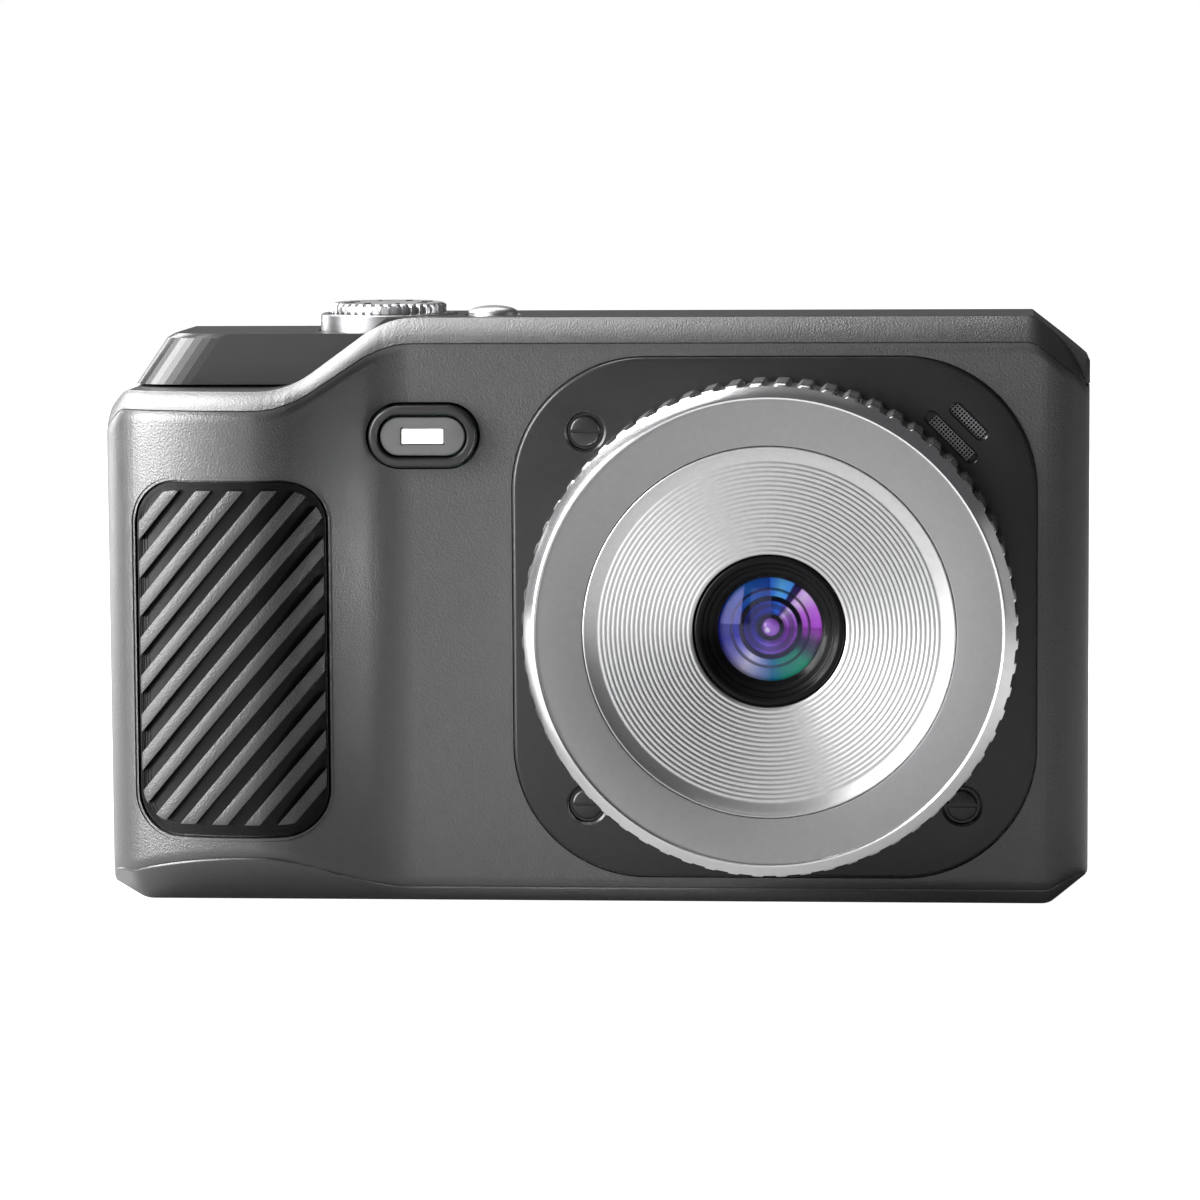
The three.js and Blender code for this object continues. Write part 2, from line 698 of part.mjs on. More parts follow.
function sensorPiece(halfWidth, halfHeight, depths) {
  const across = [LENS_X - halfWidth, LENS_X + halfWidth];
  return box(across, depths, [LENS_Z - halfHeight, LENS_Z + halfHeight]);
}

// ---- flash ----
function flashBezel() {
  const spot = [FLASH_X, FLASH_Z];
  const body = alongY(pill(spot, FLASH_LONG, FLASH_TALL), [FLASH_FRONT_Y, -1.8], 5);
  const bore = alongY(pill(spot, FLASH_LONG - 2.2, FLASH_TALL - 2.2), [-12, 1], 5);
  const dish = alongY(pill(spot, FLASH_LONG - 0.9, FLASH_TALL - 0.9), [-12, FLASH_FRONT_Y + 0.2], 5);
  return body.subtract(bore).subtract(dish);
}

function flashWindow() {
  const spot = [FLASH_X, FLASH_Z];
  const lens = alongY(pill(spot, FLASH_LONG - 2.8, FLASH_TALL - 2.8), [FLASH_FRONT_Y + 0.6, -4.2], 5);
  const pocket = box([FLASH_X - 2.65, FLASH_X + 2.65], [-5, -4], [FLASH_Z - 1.15, FLASH_Z + 1.15]);
  return lens.subtract(pocket);
}

function flashLed() {
  const chip = box([FLASH_X - 2.35, FLASH_X + 2.35], [-4.7, -2.6], [FLASH_Z - 0.85, FLASH_Z + 0.85]);
  const base = box([FLASH_X - 3, FLASH_X + 3], [-3.9, -1.6], [FLASH_Z - 1.6, FLASH_Z + 1.6]);
  return chip.add(base);
}

// ---- top controls ----
function dialCollar() {
  return turnedZ([
    [2.4, 63.9],
    [COLLAR_R, 63.9],
    [COLLAR_R, COLLAR_TOP_Z - 0.2],
    [COLLAR_R - 0.2, COLLAR_TOP_Z],
    [DIAL_R + GAP, COLLAR_TOP_Z],
    [DIAL_R + GAP, COLLAR_TOP_Z - 0.35],
    [2.4, COLLAR_TOP_Z - 0.35],
  ], [DIAL_X, DIAL_Y], 32);
}

function modeDial() {
  const low = COLLAR_TOP_Z - 0.05;
  const cap = turnedZ([
    [0, low],
    [DIAL_R, low],
    [DIAL_R, DIAL_TOP_Z - 0.3],
    [DIAL_R - 0.3, DIAL_TOP_Z - 0.05],
    [0, DIAL_TOP_Z],
  ], [DIAL_X, DIAL_Y], DIAL_TEETH);
  const knurl = toothed([DIAL_X, DIAL_Y], DIAL_TEETH, DIAL_R, DIAL_R - 0.3);
  const stem = discZ(2, [59.6, low + 0.2], [DIAL_X, DIAL_Y], 16);
  return cap.intersect(alongZ(knurl, [60, 70])).add(stem);
}

function dialSwitch() {
  const block = box([DIAL_X - 5, DIAL_X + 5], [DIAL_Y - 5, DIAL_Y + 5], [58.6, 61.1]);
  return block.subtract(discZ(2.3, [59.2, 62], [DIAL_X, DIAL_Y], 16));
}

function shutterButton() {
  const edge = 66.25;
  return turnedZ([
    [0, 60.1],
    [1.2, 60.1],
    [1.2, 65.4],
    [SHUTTER_R, 65.4],
    [SHUTTER_R, edge],
    [SHUTTER_R * 0.93, edge + 0.3],
    [SHUTTER_R * 0.7, edge + 0.55],
    [SHUTTER_R * 0.4, edge + 0.72],
    [0, edge + 0.8],
  ], [SHUTTER_X, SHUTTER_Y], 20);
}

function shutterSpring() {
  const turns = 3.5;
  const coilR = 2.15;
  const wireR = 0.2;
  const [low, high] = [62.4, 65.1];
  const points = [];
  const steps = 30;
  for (let i = 0; i <= steps; i++) {
    const angle = (i / steps) * turns * 2 * Math.PI;
    const x = SHUTTER_X + coilR * Math.cos(angle);
    const y = SHUTTER_Y + coilR * Math.sin(angle);
    points.push(new THREE.Vector3(x, y, THREE.MathUtils.lerp(low, high, i / steps)));
  }
  const wire = new THREE.Shape().absarc(0, 0, wireR, 0, 2 * Math.PI);
  const options = { steps, curveSegments: 3, extrudePath: new THREE.CatmullRomCurve3(points) };
  return solid(new THREE.ExtrudeGeometry(wire, options));
}

function shutterSwitch() {
  const base = box([SHUTTER_X - 3, SHUTTER_X + 3], [SHUTTER_Y - 3, SHUTTER_Y + 3], [56.6, 58.4]);
  return base.add(discZ(1.2, [58, 59], [SHUTTER_X, SHUTTER_Y], 12));
}

// ---- battery bay ----
function batteryHolder() {
  const outer = box([-52.4, -19.6], [-0.2, 11.6], [4.8, 46.4]);
  const battery = box([BAY_X[0] - GAP, BAY_X[1] + GAP], [BATTERY_Y[0] - GAP, BATTERY_Y[1] + GAP], [3, 45.2]);
  const card = box([CARD_X[0] - GAP, CARD_X[1] + GAP], [CARD_Y[0] - GAP, CARD_Y[1] + GAP], [3, 44]);
  return outer.subtract(battery).subtract(card);
}

function battery() {
  return alongZ(roundedRect(BAY_X, BATTERY_Y, 1.4), BATTERY_Z, 3);
}

function batteryContacts() {
  let body = box([-45, -27], [2.4, 5.6], [44.4, 44.9]);
  for (const x of [-42, -36, -30]) {
    body = body.add(box([x - 1, x + 1], [3, 5], [43.9, 44.6]));
  }
  return body;
}

function memoryCard() {
  const notch = 3;
  const outline = polygon([
    [CARD_X[0], CARD_Z[0]],
    [CARD_X[1], CARD_Z[0]],
    [CARD_X[1], CARD_Z[1] - notch],
    [CARD_X[1] - notch, CARD_Z[1]],
    [CARD_X[0], CARD_Z[1]],
  ]);
  return alongY(outline, CARD_Y);
}

function cardSocket() {
  return box(CARD_X, CARD_Y, [CARD_Z[1] + 0.4, 43.6]);
}

function batteryDoor() {
  const reach = [DOOR_Y[0], DOOR_AXIS_Y];
  let body = box(DOOR_X, DOOR_Y, DOOR_Z);
  const knuckleR = 0.85;
  for (const [left, right] of [[-50.6, -44], [-26, -19.4]]) {
    const arm = box([left, right], [DOOR_Y[1] - 1, reach[1]], [DOOR_AXIS_Z - 0.5, DOOR_AXIS_Z + 0.5]);
    const knuckle = rodX(knuckleR, [left, right], [DOOR_AXIS_Y, DOOR_AXIS_Z], 16);
    body = body.add(arm).add(knuckle);
  }
  body = body.subtract(rodX(0.6, [-60, -10], [DOOR_AXIS_Y, DOOR_AXIS_Z], 12));
  const latchPocket = box([-39.3, -30.7], [-1, 5.6], [-1, 1.1]);
  const tongueSlot = box([-38.1, -31.9], [-1, 1.8], [0.4, 1.3]);
  return body.subtract(latchPocket).subtract(tongueSlot);
}

function doorHingePin() {
  return rodX(0.35, [DOOR_X[0] - 1, DOOR_X[1] + 1.5], [DOOR_AXIS_Y, DOOR_AXIS_Z], 12);
}

function doorLatch() {
  const slider = box([-39, -31], [2.4, 5.3], [0.3, 0.8]);
  const grip = box([-37, -33], [3.2, 4.4], [0.1, 0.4]);
  const tongue = box([-37.8, -32.2], [0.4, 3], [0.65, 1]);
  return slider.add(grip).add(tongue);
}

// ---- ports, base and strap ----
function usbSocket() {
  const shell = alongX(roundedRect([8.2, 11.6], [24.9, 31.1], 1.2), [45, 52.4], 3);
  return shell.subtract(alongX(roundedRect([8.8, 11], [25.5, 30.5], 0.9), [46, 53], 3));
}

function portCover() {
  const face = box([53.5, 54.8], PORT_Y, PORT_Z);
  const knuckle = discZ(0.7, [24, 32], [PORT_AXIS_X, PORT_AXIS_Y], 16);
  const arm = box([53.7, 54.5], [PORT_Y[1] - 0.5, PORT_AXIS_Y], [24, 32]);
  const plug = box([52.8, 53.7], [8.9, 10.9], [25.8, 30.2]);
  const pins = discZ(0.4, [PORT_Z[0] - 1, PORT_Z[1] + 1], [PORT_AXIS_X, PORT_AXIS_Y], 10);
  const thumb = box([54.2, 56], [6, 7.2], [26.5, 29.5]);
  return face.add(knuckle).add(arm).add(plug).add(pins).subtract(thumb);
}

function tripodSocket() {
  return turnedZ([
    [TRIPOD_BORE_R, 0],
    [4, 0],
    [4, 2.5],
    [5.9, 2.5],
    [5.9, 4],
    [4.4, 4],
    [4.4, 6.9],
    [0, 6.9],
    [0, 6],
    [TRIPOD_BORE_R, 6],
  ], [LENS_X, TRIPOD_Y], 24);
}

function strapBar() {
  return discZ(STRAP_R, [46.7, 53.9], STRAP_SPOT, 12);
}

function coverScrew([x, y]) {
  const head = discZ(COVER_SCREW_R, [0.2, 1], [x, y], 14);
  const shank = discZ(0.7, [0.9, 5], [x, y], 8);
  const cross = box([x - 0.9, x + 0.9], [y - 0.2, y + 0.2], [-1, 0.5]);
  const cross2 = box([x - 0.2, x + 0.2], [y - 0.9, y + 0.9], [-1, 0.5]);
  return head.add(shank).subtract(cross).subtract(cross2);
}

// ---- rear controls and screen ----
function roundKey(spot, radius) {
  const cap = turnedY([
    [0, BUTTON_Y],
    [radius - 0.3, BUTTON_Y],
    [radius, BUTTON_Y - 0.3],
    [radius, KEY_FLANGE_Y[0]],
    [0, KEY_FLANGE_Y[0]],
  ], spot, 16);
  return cap.add(discY(radius + 0.9, KEY_FLANGE_Y, spot, 16));
}

// One quarter of the ring of direction keys, centred on the given angle.
function directionKey(angle) {
  const half = Math.PI / 4;
  const quarter = (outer, inner, trim) => {
    const shape = new THREE.Shape();
    shape.absarc(KEYS_X, KEYS_Z, outer, angle - half + trim / outer, angle + half - trim / outer);
    shape.absarc(KEYS_X, KEYS_Z, inner, angle + half - trim / inner, angle - half + trim / inner, true);
    shape.closePath();
    return shape;
  };
  const cap = alongY(quarter(KEY_RING_R, KEY_RING_BORE_R, 0.2), [KEY_FLANGE_Y[0], BUTTON_Y], 3);
  const skirt = alongY(quarter(KEY_RING_R + 0.9, KEY_RING_BORE_R, 0.2), KEY_FLANGE_Y, 3);
  return cap.add(skirt);
}

function zoomRocker() {
  const cap = alongY(pill(ROCKER_SPOT, 13, 5), [15.9, BUTTON_Y - 0.2], 5);
  const dip = discY(20, [BUTTON_Y - 0.6, 60], ROCKER_SPOT, 12);
  const saddle = alongX(polygon([[REAR_Y, 0], [30, 0], [30, 80], [REAR_Y, 80]]), [-37.5, -31.5]);
  return cap.subtract(dip.intersect(saddle));
}

function keyMat() {
  return box([-51.5, -17], [13.7, 14.7], [10.5, 54]);
}

function mainBoard() {
  let body = box([-51.5, -17], [12.1, 13.3], [5, 55]);
  for (const [x, z] of [[-44, 48], [-26, 50], [-46, 12]]) {
    body = body.add(box([x - 2.5, x + 2.5], [11.7, 12.3], [z - 1, z + 1]));
  }
  return body;
}

function displayWindow() {
  return alongY(screenOutline(0), [REAR_Y - 1.2, REAR_Y - 0.1], 4);
}

function displayPanel() {
  return box([-10.2, 46.2], [15, 17.1], [8.4, 50.6]);
}

function displayTray() {
  const tray = box([-11.4, 47.4], [12.6, 16.3], [7.2, 51.8]);
  return tray.subtract(box([-10.6, 46.6], [14.6, 18], [8, 51]));
}

function speaker() {
  return turnedY([[0, 15], [3, 15], [3.3, 15.3], [3.3, 16.3], [0, 16.3]], [KEYS_X, SPEAKER_Z], 16);
}

// ---- materials ----
const finish = (color, roughness, metalness) => ({ color, roughness, metalness });
const GRAINED = finish(0x4b4c4e, 0.55, 0.1);
const SATIN = finish(0x3f4042, 0.4, 0.2);
const PLATE = finish(0x2f3032, 0.35, 0.4);
const RUBBER = finish(0x2a2a2b, 0.85, 0);
const RING = finish(0x9a9b9d, 0.35, 0.9);
const SPUN = finish(0xc9cacc, 0.25, 1);
const CHROME = finish(0xdadbdd, 0.15, 1);
const STEEL = finish(0xa6a7a9, 0.3, 1);
const BLACK = finish(0x111113, 0.4, 0.1);
const GLASS = finish(0x2c2b6e, 0.05, 0.1);
const CLEAR = finish(0xbfc2c4, 0.15, 0);
const LED = finish(0xf2eee6, 0.5, 0);
const BOARD = finish(0x14532d, 0.6, 0);
const BATTERY = finish(0x34363a, 0.6, 0);
const GOLD = finish(0xc9a24a, 0.3, 1);

const camera = new THREE.Group();

function add(name, body, material) {
  const mesh = new THREE.Mesh(geometryOf(body), new THREE.MeshStandardMaterial(material));
  mesh.name = name;
  camera.add(mesh);
}

add("front_cover", frontCover(), GRAINED);
add("rear_cover", rearCover(), GRAINED);
add("top_cover", topCover(), SATIN);
add("grip_pad", gripPad(), RUBBER);

add("lens_plate", lensPlate(), PLATE);
SCREW_SPOTS.forEach((spot, i) => add(`lens_plate_screw_${i + 1}`, plateScrew(spot), STEEL));
add("microphone_mesh", microphoneMesh(), BLACK);
add("lens_mount", lensMount(), BLACK);
add("control_ring", controlRing(), RING);
add("lens_bezel", lensBezel(), SPUN);
add("lens_barrel", lensBarrel(), BLACK);
add("front_lens", lensElement(6.3, -15.9, -11.6, 1.5, 0.8), GLASS);
add("lens_spacer", ringPiece(6.3, 4.4, -11.3, -9.4), BLACK);
add("middle_lens", lensElement(6.3, -8.6, -7, -0.5, -0.4), GLASS);
add("aperture_plate", ringPiece(6.3, 1.3, -6.3, -5.7), BLACK);
add("rear_lens", lensElement(6.3, -5.4, -1.9, 1, 1), GLASS);
add("lens_retainer", ringPiece(6.3, 4.6, -1.6, -0.2), BLACK);
add("infrared_filter", sensorPiece(4.2, 3.6, [1, 1.5]), GLASS);
add("image_sensor", sensorPiece(4.6, 4, [3.2, 4.3]), BLACK);
add("sensor_board", sensorPiece(11, 10, [4.6, 5.8]), BOARD);

add("flash_bezel", flashBezel(), SATIN);
add("flash_window", flashWindow(), CLEAR);
add("flash_led", flashLed(), LED);
add("flash_board", box([-27, -11], [-1.3, -0.3], [48.6, 56]), BOARD);

add("dial_collar", dialCollar(), STEEL);
add("mode_dial", modeDial(), CHROME);
add("dial_switch", dialSwitch(), BLACK);
add("shutter_button", shutterButton(), CHROME);
add("shutter_spring", shutterSpring(), STEEL);
add("shutter_switch", shutterSwitch(), BLACK);

add("battery_holder", batteryHolder(), BLACK);
add("battery", battery(), BATTERY);
add("battery_contacts", batteryContacts(), GOLD);
add("battery_door", batteryDoor(), GRAINED);
add("door_hinge_pin", doorHingePin(), STEEL);
add("door_latch", doorLatch(), SATIN);
add("memory_card", memoryCard(), BATTERY);
add("card_socket", cardSocket(), STEEL);

add("usb_socket", usbSocket(), STEEL);
add("port_cover", portCover(), GRAINED);
add("tripod_socket", tripodSocket(), STEEL);
add("strap_bar", strapBar(), STEEL);
COVER_SCREWS.forEach((spot, i) => add(`cover_screw_${i + 1}`, coverScrew(spot), STEEL));

["right", "up", "left", "down"].forEach((side, i) => {
  add(`${side}_key`, directionKey((i * Math.PI) / 2), SATIN);
});
add("ok_key", roundKey([KEYS_X, KEYS_Z], OK_KEY_R), SATIN);
["menu_key", "playback_key"].forEach((name, i) => {
  add(name, roundKey(ROUND_KEYS[i], ROUND_KEY_R), SATIN);
});
add("zoom_rocker", zoomRocker(), SATIN);
add("key_mat", keyMat(), RUBBER);
add("main_board", mainBoard(), BOARD);
add("display_window", displayWindow(), GLASS);
add("display_panel", displayPanel(), BLACK);
add("display_tray", displayTray(), STEEL);
add("speaker", speaker(), BLACK);

export default camera;
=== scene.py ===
import math

import bmesh
import bpy
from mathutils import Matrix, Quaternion, Vector


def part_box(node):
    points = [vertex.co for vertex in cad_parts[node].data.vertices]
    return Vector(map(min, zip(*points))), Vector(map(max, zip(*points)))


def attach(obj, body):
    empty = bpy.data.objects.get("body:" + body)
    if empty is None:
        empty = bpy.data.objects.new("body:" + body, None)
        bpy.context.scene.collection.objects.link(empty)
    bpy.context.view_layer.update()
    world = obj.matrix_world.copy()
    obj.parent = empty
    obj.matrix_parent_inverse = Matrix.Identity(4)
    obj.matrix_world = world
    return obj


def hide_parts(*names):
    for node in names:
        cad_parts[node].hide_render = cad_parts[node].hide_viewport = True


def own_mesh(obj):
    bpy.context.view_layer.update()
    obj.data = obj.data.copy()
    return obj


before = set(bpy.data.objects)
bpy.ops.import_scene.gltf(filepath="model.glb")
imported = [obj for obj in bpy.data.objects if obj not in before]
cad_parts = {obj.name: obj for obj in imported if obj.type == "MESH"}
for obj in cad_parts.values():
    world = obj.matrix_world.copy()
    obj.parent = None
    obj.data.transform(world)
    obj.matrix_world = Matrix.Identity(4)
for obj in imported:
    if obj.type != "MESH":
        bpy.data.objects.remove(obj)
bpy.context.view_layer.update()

# Lengths below are in millimetres in the CAD frame: X right, Y from lens to screen, Z up.
MM = 0.001


def cad(node):
    """A CAD node's lowest and highest corners, in millimetres."""
    low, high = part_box(node)
    return [v / MM for v in low], [v / MM for v in high]


def middle(node):
    """The middle of a CAD node's box, in millimetres."""
    low, high = cad(node)
    return [(a + b) / 2 for a, b in zip(low, high)]


# ---- dimensions, from the CAD boxes where they hold them ----
COVER_LOW, COVER_HIGH = cad("front_cover")
HALF_WIDTH = COVER_HIGH[0]
SEAM_Y = COVER_HIGH[1]
APEX_Y = COVER_LOW[1]
DECK_Z = COVER_HIGH[2]
REAR_Y = cad("rear_cover")[1][1]
SHELF_Z = cad("rear_cover")[1][2]
CAP_FRONT_Y = cad("top_cover")[0][1]
PANEL_Y = -4.2
WALL = 2.2
GAP = 0.3
CEILING_Z = 56.2
LEFT_DECK_Z = 64.2

# Half the width of the opening up into the top cover, and places past the camera's sides and top.
NECK_X = 50
BEYOND_X = 60
BEYOND_Z = 70

GRIP_APEX_X = -37.7
GRIP_FRONT_R = 29.5
GRIP_FRONT_SWEEP = math.radians(24)
GRIP_SHOULDER_R = 8.9
GRIP_SLOPE = math.radians(35)
GRIP_FOOT_R = 9.8
GRIP_FOOT_X = -20.4
SIDE_R = 5.4
FOOT_LINE_Y = -0.5
UNDERCUT = 0.55
BEVEL_DEPTH = 3.5
GRIP_BEVEL = 1.9
PANEL_BEVEL = 2.7
RAMP = (-33.8, -23.4)

LENS_X, _, LENS_Z = middle("control_ring")
RING_R = (cad("control_ring")[1][0] - cad("control_ring")[0][0]) / 2
RING_FRONT_Y = cad("control_ring")[0][1]
RING_BACK_Y = cad("control_ring")[1][1]
FACE_R = 25.4
MOUTH_R = 20.3
MOUNT_R = 21.0
BARREL_R = 8.2
BARREL_Y = cad("lens_barrel")[0][1]
PLATE_Y = cad("lens_plate")[0][1]
PLATE_HALF = (cad("lens_plate")[1][0] - cad("lens_plate")[0][0]) / 2
PLATE_CORNER_R = 14.8
PLATE_THICK = 1.2

FLASH_X, _, FLASH_Z = middle("flash_bezel")
FLASH_LOW, FLASH_HIGH = cad("flash_bezel")
FLASH_LONG = FLASH_HIGH[0] - FLASH_LOW[0]
FLASH_TALL = FLASH_HIGH[2] - FLASH_LOW[2]
FLASH_Y = FLASH_LOW[1]

DIAL_X, DIAL_Y, _ = middle("dial_collar")
COLLAR_R = (cad("dial_collar")[1][0] - cad("dial_collar")[0][0]) / 2
COLLAR_Z = cad("dial_collar")[1][2]
DIAL_R = 6.6
DIAL_Z = cad("mode_dial")[1][2]
SHUTTER_X, SHUTTER_Y, _ = middle("shutter_button")
SHUTTER_R = 2.8
SHUTTER_Z = cad("shutter_button")[1][2]

PAD_X = (-50.9, -29.3)
PAD_Z = (8.7, 48.6)
PAD_CORNER_R = 5.0
RIB_PITCH = 2.8
RIB_WIDTH = 1.3
RIB_ANGLE = math.radians(49.5)


# ---- mesh tools ----
def build(name, points, faces):
    """A mesh object from points in millimetres, with its faces turned outwards."""
    mesh = bpy.data.meshes.new(name)
    mesh.from_pydata([Vector(p) * MM for p in points], [], faces)
    work = bmesh.new()
    work.from_mesh(mesh)
    bmesh.ops.remove_doubles(work, verts=work.verts, dist=1e-7)
    bmesh.ops.recalc_face_normals(work, faces=work.faces)
    work.to_mesh(mesh)
    work.free()
    made = bpy.data.objects.new(name, mesh)
    bpy.context.scene.collection.objects.link(made)
    return made


def loft(name, rings, caps=True, around=True):
    """Skin through rings of equal length. Around closes each ring, caps close the two ends."""
    size = len(rings[0])
    points = [p for ring in rings for p in ring]
    faces = []
    for i in range(len(rings) - 1):
        for j in range(size if around else size - 1):
            k = (j + 1) % size
            faces.append((i * size + j, i * size + k, (i + 1) * size + k, (i + 1) * size + j))
    if caps:
        faces.append(tuple(range(size)))
        faces.append(tuple(range((len(rings) - 1) * size, len(rings) * size)))
    return build(name, points, faces)


def lathe(name, profile, centre, axis="Y", segments=96, modulate=None):
    """A closed profile of (radius, height) turned about an axis. Modulate changes it with angle."""
    rings = []
    for i in range(segments):
        angle = 2 * math.pi * i / segments
        rings.append(modulate(profile, angle) if modulate else profile)
    points = []
    for i, ring in enumerate(rings):
        angle = 2 * math.pi * i / segments
        for radius, height in ring:
            a, b = radius * math.cos(angle), radius * math.sin(angle)
            if axis == "Y":
                points.append((centre[0] + a, height, centre[1] + b))
            elif axis == "Z":
                points.append((centre[0] + a, centre[1] + b, height))
            else:
                points.append((height, centre[0] + a, centre[1] + b))
    size = len(profile)
    faces = []
    closed = profile[0][0] > 1e-6 or profile[-1][0] > 1e-6
    for i in range(segments):
        n = (i + 1) % segments
        for j in range(size if closed else size - 1):
            k = (j + 1) % size
            faces.append((i * size + j, i * size + k, n * size + k, n * size + j))
    return build(name, points, faces)


def prism(name, outline, layers, axis="Y"):
    """A flat outline(inset) stacked through layers of (position, inset) along an axis."""
    rings = []
    for position, inset in layers:
        flat = outline(inset)
        if axis == "Y":
            rings.append([(a, position, b) for a, b in flat])
        elif axis == "Z":
            rings.append([(a, b, position) for a, b in flat])
        else:
            rings.append([(position, a, b) for a, b in flat])
    return loft(name, rings)


def soft_layers(front, back, edge, steps=4, both=False):
    """Layers from front to back whose front edge, or both edges, are rounded by edge."""
    step = 1 if back > front else -1
    rounded = []
    for i in range(steps + 1):
        turn = math.pi / 2 * i / steps
        rounded.append((edge * (1 - math.cos(turn)), edge * (1 - math.sin(turn))))
    layers = [(front + step * depth, inset) for depth, inset in rounded]
    if both:
        return layers + [(back - step * depth, inset) for depth, inset in reversed(rounded)]
    return layers + [(back, 0)]


def block(name, low, high):
    """A plain cutter."""
    (x0, y0, z0), (x1, y1, z1) = low, high
    rings = [[(x, y0, z0), (x, y1, z0), (x, y1, z1), (x, y0, z1)] for x in (x0, x1)]
    return loft(name, rings)


def disc(name, radius, span, centre, axis="Y", segments=48):
    """A plain round bar along an axis."""
    profile = [(0, span[0]), (radius, span[0]), (radius, span[1]), (0, span[1])]
    return lathe(name, profile, centre, axis, segments)


def rounded_block(name, low, high, corner, edge, axis="Z"):
    """A box with round corners along its axis and softened ends."""
    (x0, y0, z0), (x1, y1, z1) = low, high
    sides = {"X": (y0, y1, z0, z1), "Y": (x0, x1, z0, z1), "Z": (x0, x1, y0, y1)}[axis]
    span = {"X": (x0, x1), "Y": (y0, y1), "Z": (z0, z1)}[axis]
    return prism(name, rounded_rect(*sides, corner, 5), soft_layers(*span, edge, 3, both=True), axis)


def soften(target, width, angle=40, segments=2):
    """Rounds the edges sharper than an angle."""
    bevel = target.modifiers.new("edge", "BEVEL")
    bevel.width = width * MM
    bevel.segments = segments
    bevel.limit_method = "ANGLE"
    bevel.angle_limit = math.radians(angle)
    apply_modifiers(target)


def apply_modifiers(target):
    graph = bpy.context.evaluated_depsgraph_get()
    mesh = bpy.data.meshes.new_from_object(target.evaluated_get(graph))
    old = target.data
    target.modifiers.clear()
    target.data = mesh
    bpy.data.meshes.remove(old)


def combine(target, other, operation):
    """A boolean that uses up the other object."""
    modifier = target.modifiers.new("combine", "BOOLEAN")
    modifier.operation = operation
    modifier.solver = "MANIFOLD"
    modifier.object = other
    apply_modifiers(target)
    mesh = other.data
    bpy.data.objects.remove(other)
    bpy.data.meshes.remove(mesh)
    return target


def cut(target, *others):
    for other in others:
        combine(target, other, "DIFFERENCE")
    return target


def join(target, *others):
    for other in others:
        combine(target, other, "UNION")
    return target


def keep(target, other):
    return combine(target, other, "INTERSECT")


def smooth(target, angle=32):
    """Smooth shading, with the edges past an angle left sharp."""
    mesh = target.data
    mesh.polygons.foreach_set("use_smooth", [True] * len(mesh.polygons))
    mesh.set_sharp_from_angle(angle=math.radians(angle))
    mesh.update()


def flatten(target, area):
    """Shades the faces above an area, in square millimetres, as true planes."""
    for face in target.data.polygons:
        if face.area > area * MM * MM:
            face.use_smooth = False


def place(target, body, slot, materials, *nodes, angle=32):
    """Finishes a piece: smooth shading, materials, the body it rides on and the nodes it stands for."""
    smooth(target, angle)
    target.data.materials.clear()
    for material in materials if isinstance(materials, (list, tuple)) else [materials]:
        target.data.materials.append(material)
    target.data.polygons.foreach_set("material_index", [0] * len(target.data.polygons))
    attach(target, body)
    if nodes:
        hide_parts(*nodes)
    return target


# ---- outlines ----
def arc(x, y, r, start, end, steps=10):
    """Points on an arc, angles in degrees."""
    turns = [math.radians(start + (end - start) * i / steps) for i in range(steps + 1)]
    return [(x + r * math.cos(t), y + r * math.sin(t)) for t in turns]


def rounded_rect(x0, x1, z0, z1, radius, steps=12):
    """An outline as a function of its inset, like those below."""
    def outline(inset):
        a, b, c, d = x0 + inset, x1 - inset, z0 + inset, z1 - inset
        r = max(radius - inset, 0.01)
        return (
            arc(b - r, c + r, r, -90, 0, steps)
            + arc(b - r, d - r, r, 0, 90, steps)
            + arc(a + r, d - r, r, 90, 180, steps)
            + arc(a + r, c + r, r, 180, 270, steps)
        )

    return outline


def pill(x, z, length, height, steps=24):
    def outline(inset):
        r = height / 2 - inset
        reach = (length - height) / 2
        return arc(x + reach, z, r, -90, 90, steps) + arc(x - reach, z, r, 90, 270, steps)

    return outline


def slot_outline(a, b, width, steps=12):
    """A slot with round ends from a to b."""
    angle = math.degrees(math.atan2(b[1] - a[1], b[0] - a[0]))

    def outline(inset):
        r = width / 2 - inset
        return arc(*b, r, angle - 90, angle + 90, steps) + arc(*a, r, angle + 90, angle + 270, steps)

    return outline


def polygon(points):
    return lambda inset: points


def front_path(inset, steps=14):
    """Front of the camera in plan, left to right, moved inwards by inset."""
    centre_y = APEX_Y + GRIP_FRONT_R
    sweep = math.degrees(GRIP_FRONT_SWEEP)
    sweep_x = GRIP_APEX_X - GRIP_FRONT_R * math.sin(GRIP_FRONT_SWEEP)
    sweep_y = centre_y - GRIP_FRONT_R * math.cos(GRIP_FRONT_SWEEP)
    corner_r = (sweep_x + HALF_WIDTH) / (1 - math.sin(GRIP_FRONT_SWEEP))
    corner_x = sweep_x + corner_r * math.sin(GRIP_FRONT_SWEEP)
    corner_y = sweep_y + corner_r * math.cos(GRIP_FRONT_SWEEP)
    slope = math.degrees(GRIP_SLOPE)
    foot_y = PANEL_Y - GRIP_FOOT_R
    edge_x = HALF_WIDTH - SIDE_R
    points = arc(corner_x, corner_y, corner_r - inset, 180, 270 - sweep, steps)
    points += arc(GRIP_APEX_X, centre_y, GRIP_FRONT_R - inset, 270 - sweep, 270, steps)
    shoulder_y = APEX_Y + GRIP_SHOULDER_R
    points += arc(GRIP_APEX_X, shoulder_y, GRIP_SHOULDER_R - inset, 270, 270 + slope, steps)
    points += arc(GRIP_FOOT_X, foot_y, GRIP_FOOT_R + inset, 90 + slope, 90, steps)
    points += arc(edge_x, PANEL_Y + SIDE_R, SIDE_R - inset, -90, 0, steps)
    return points


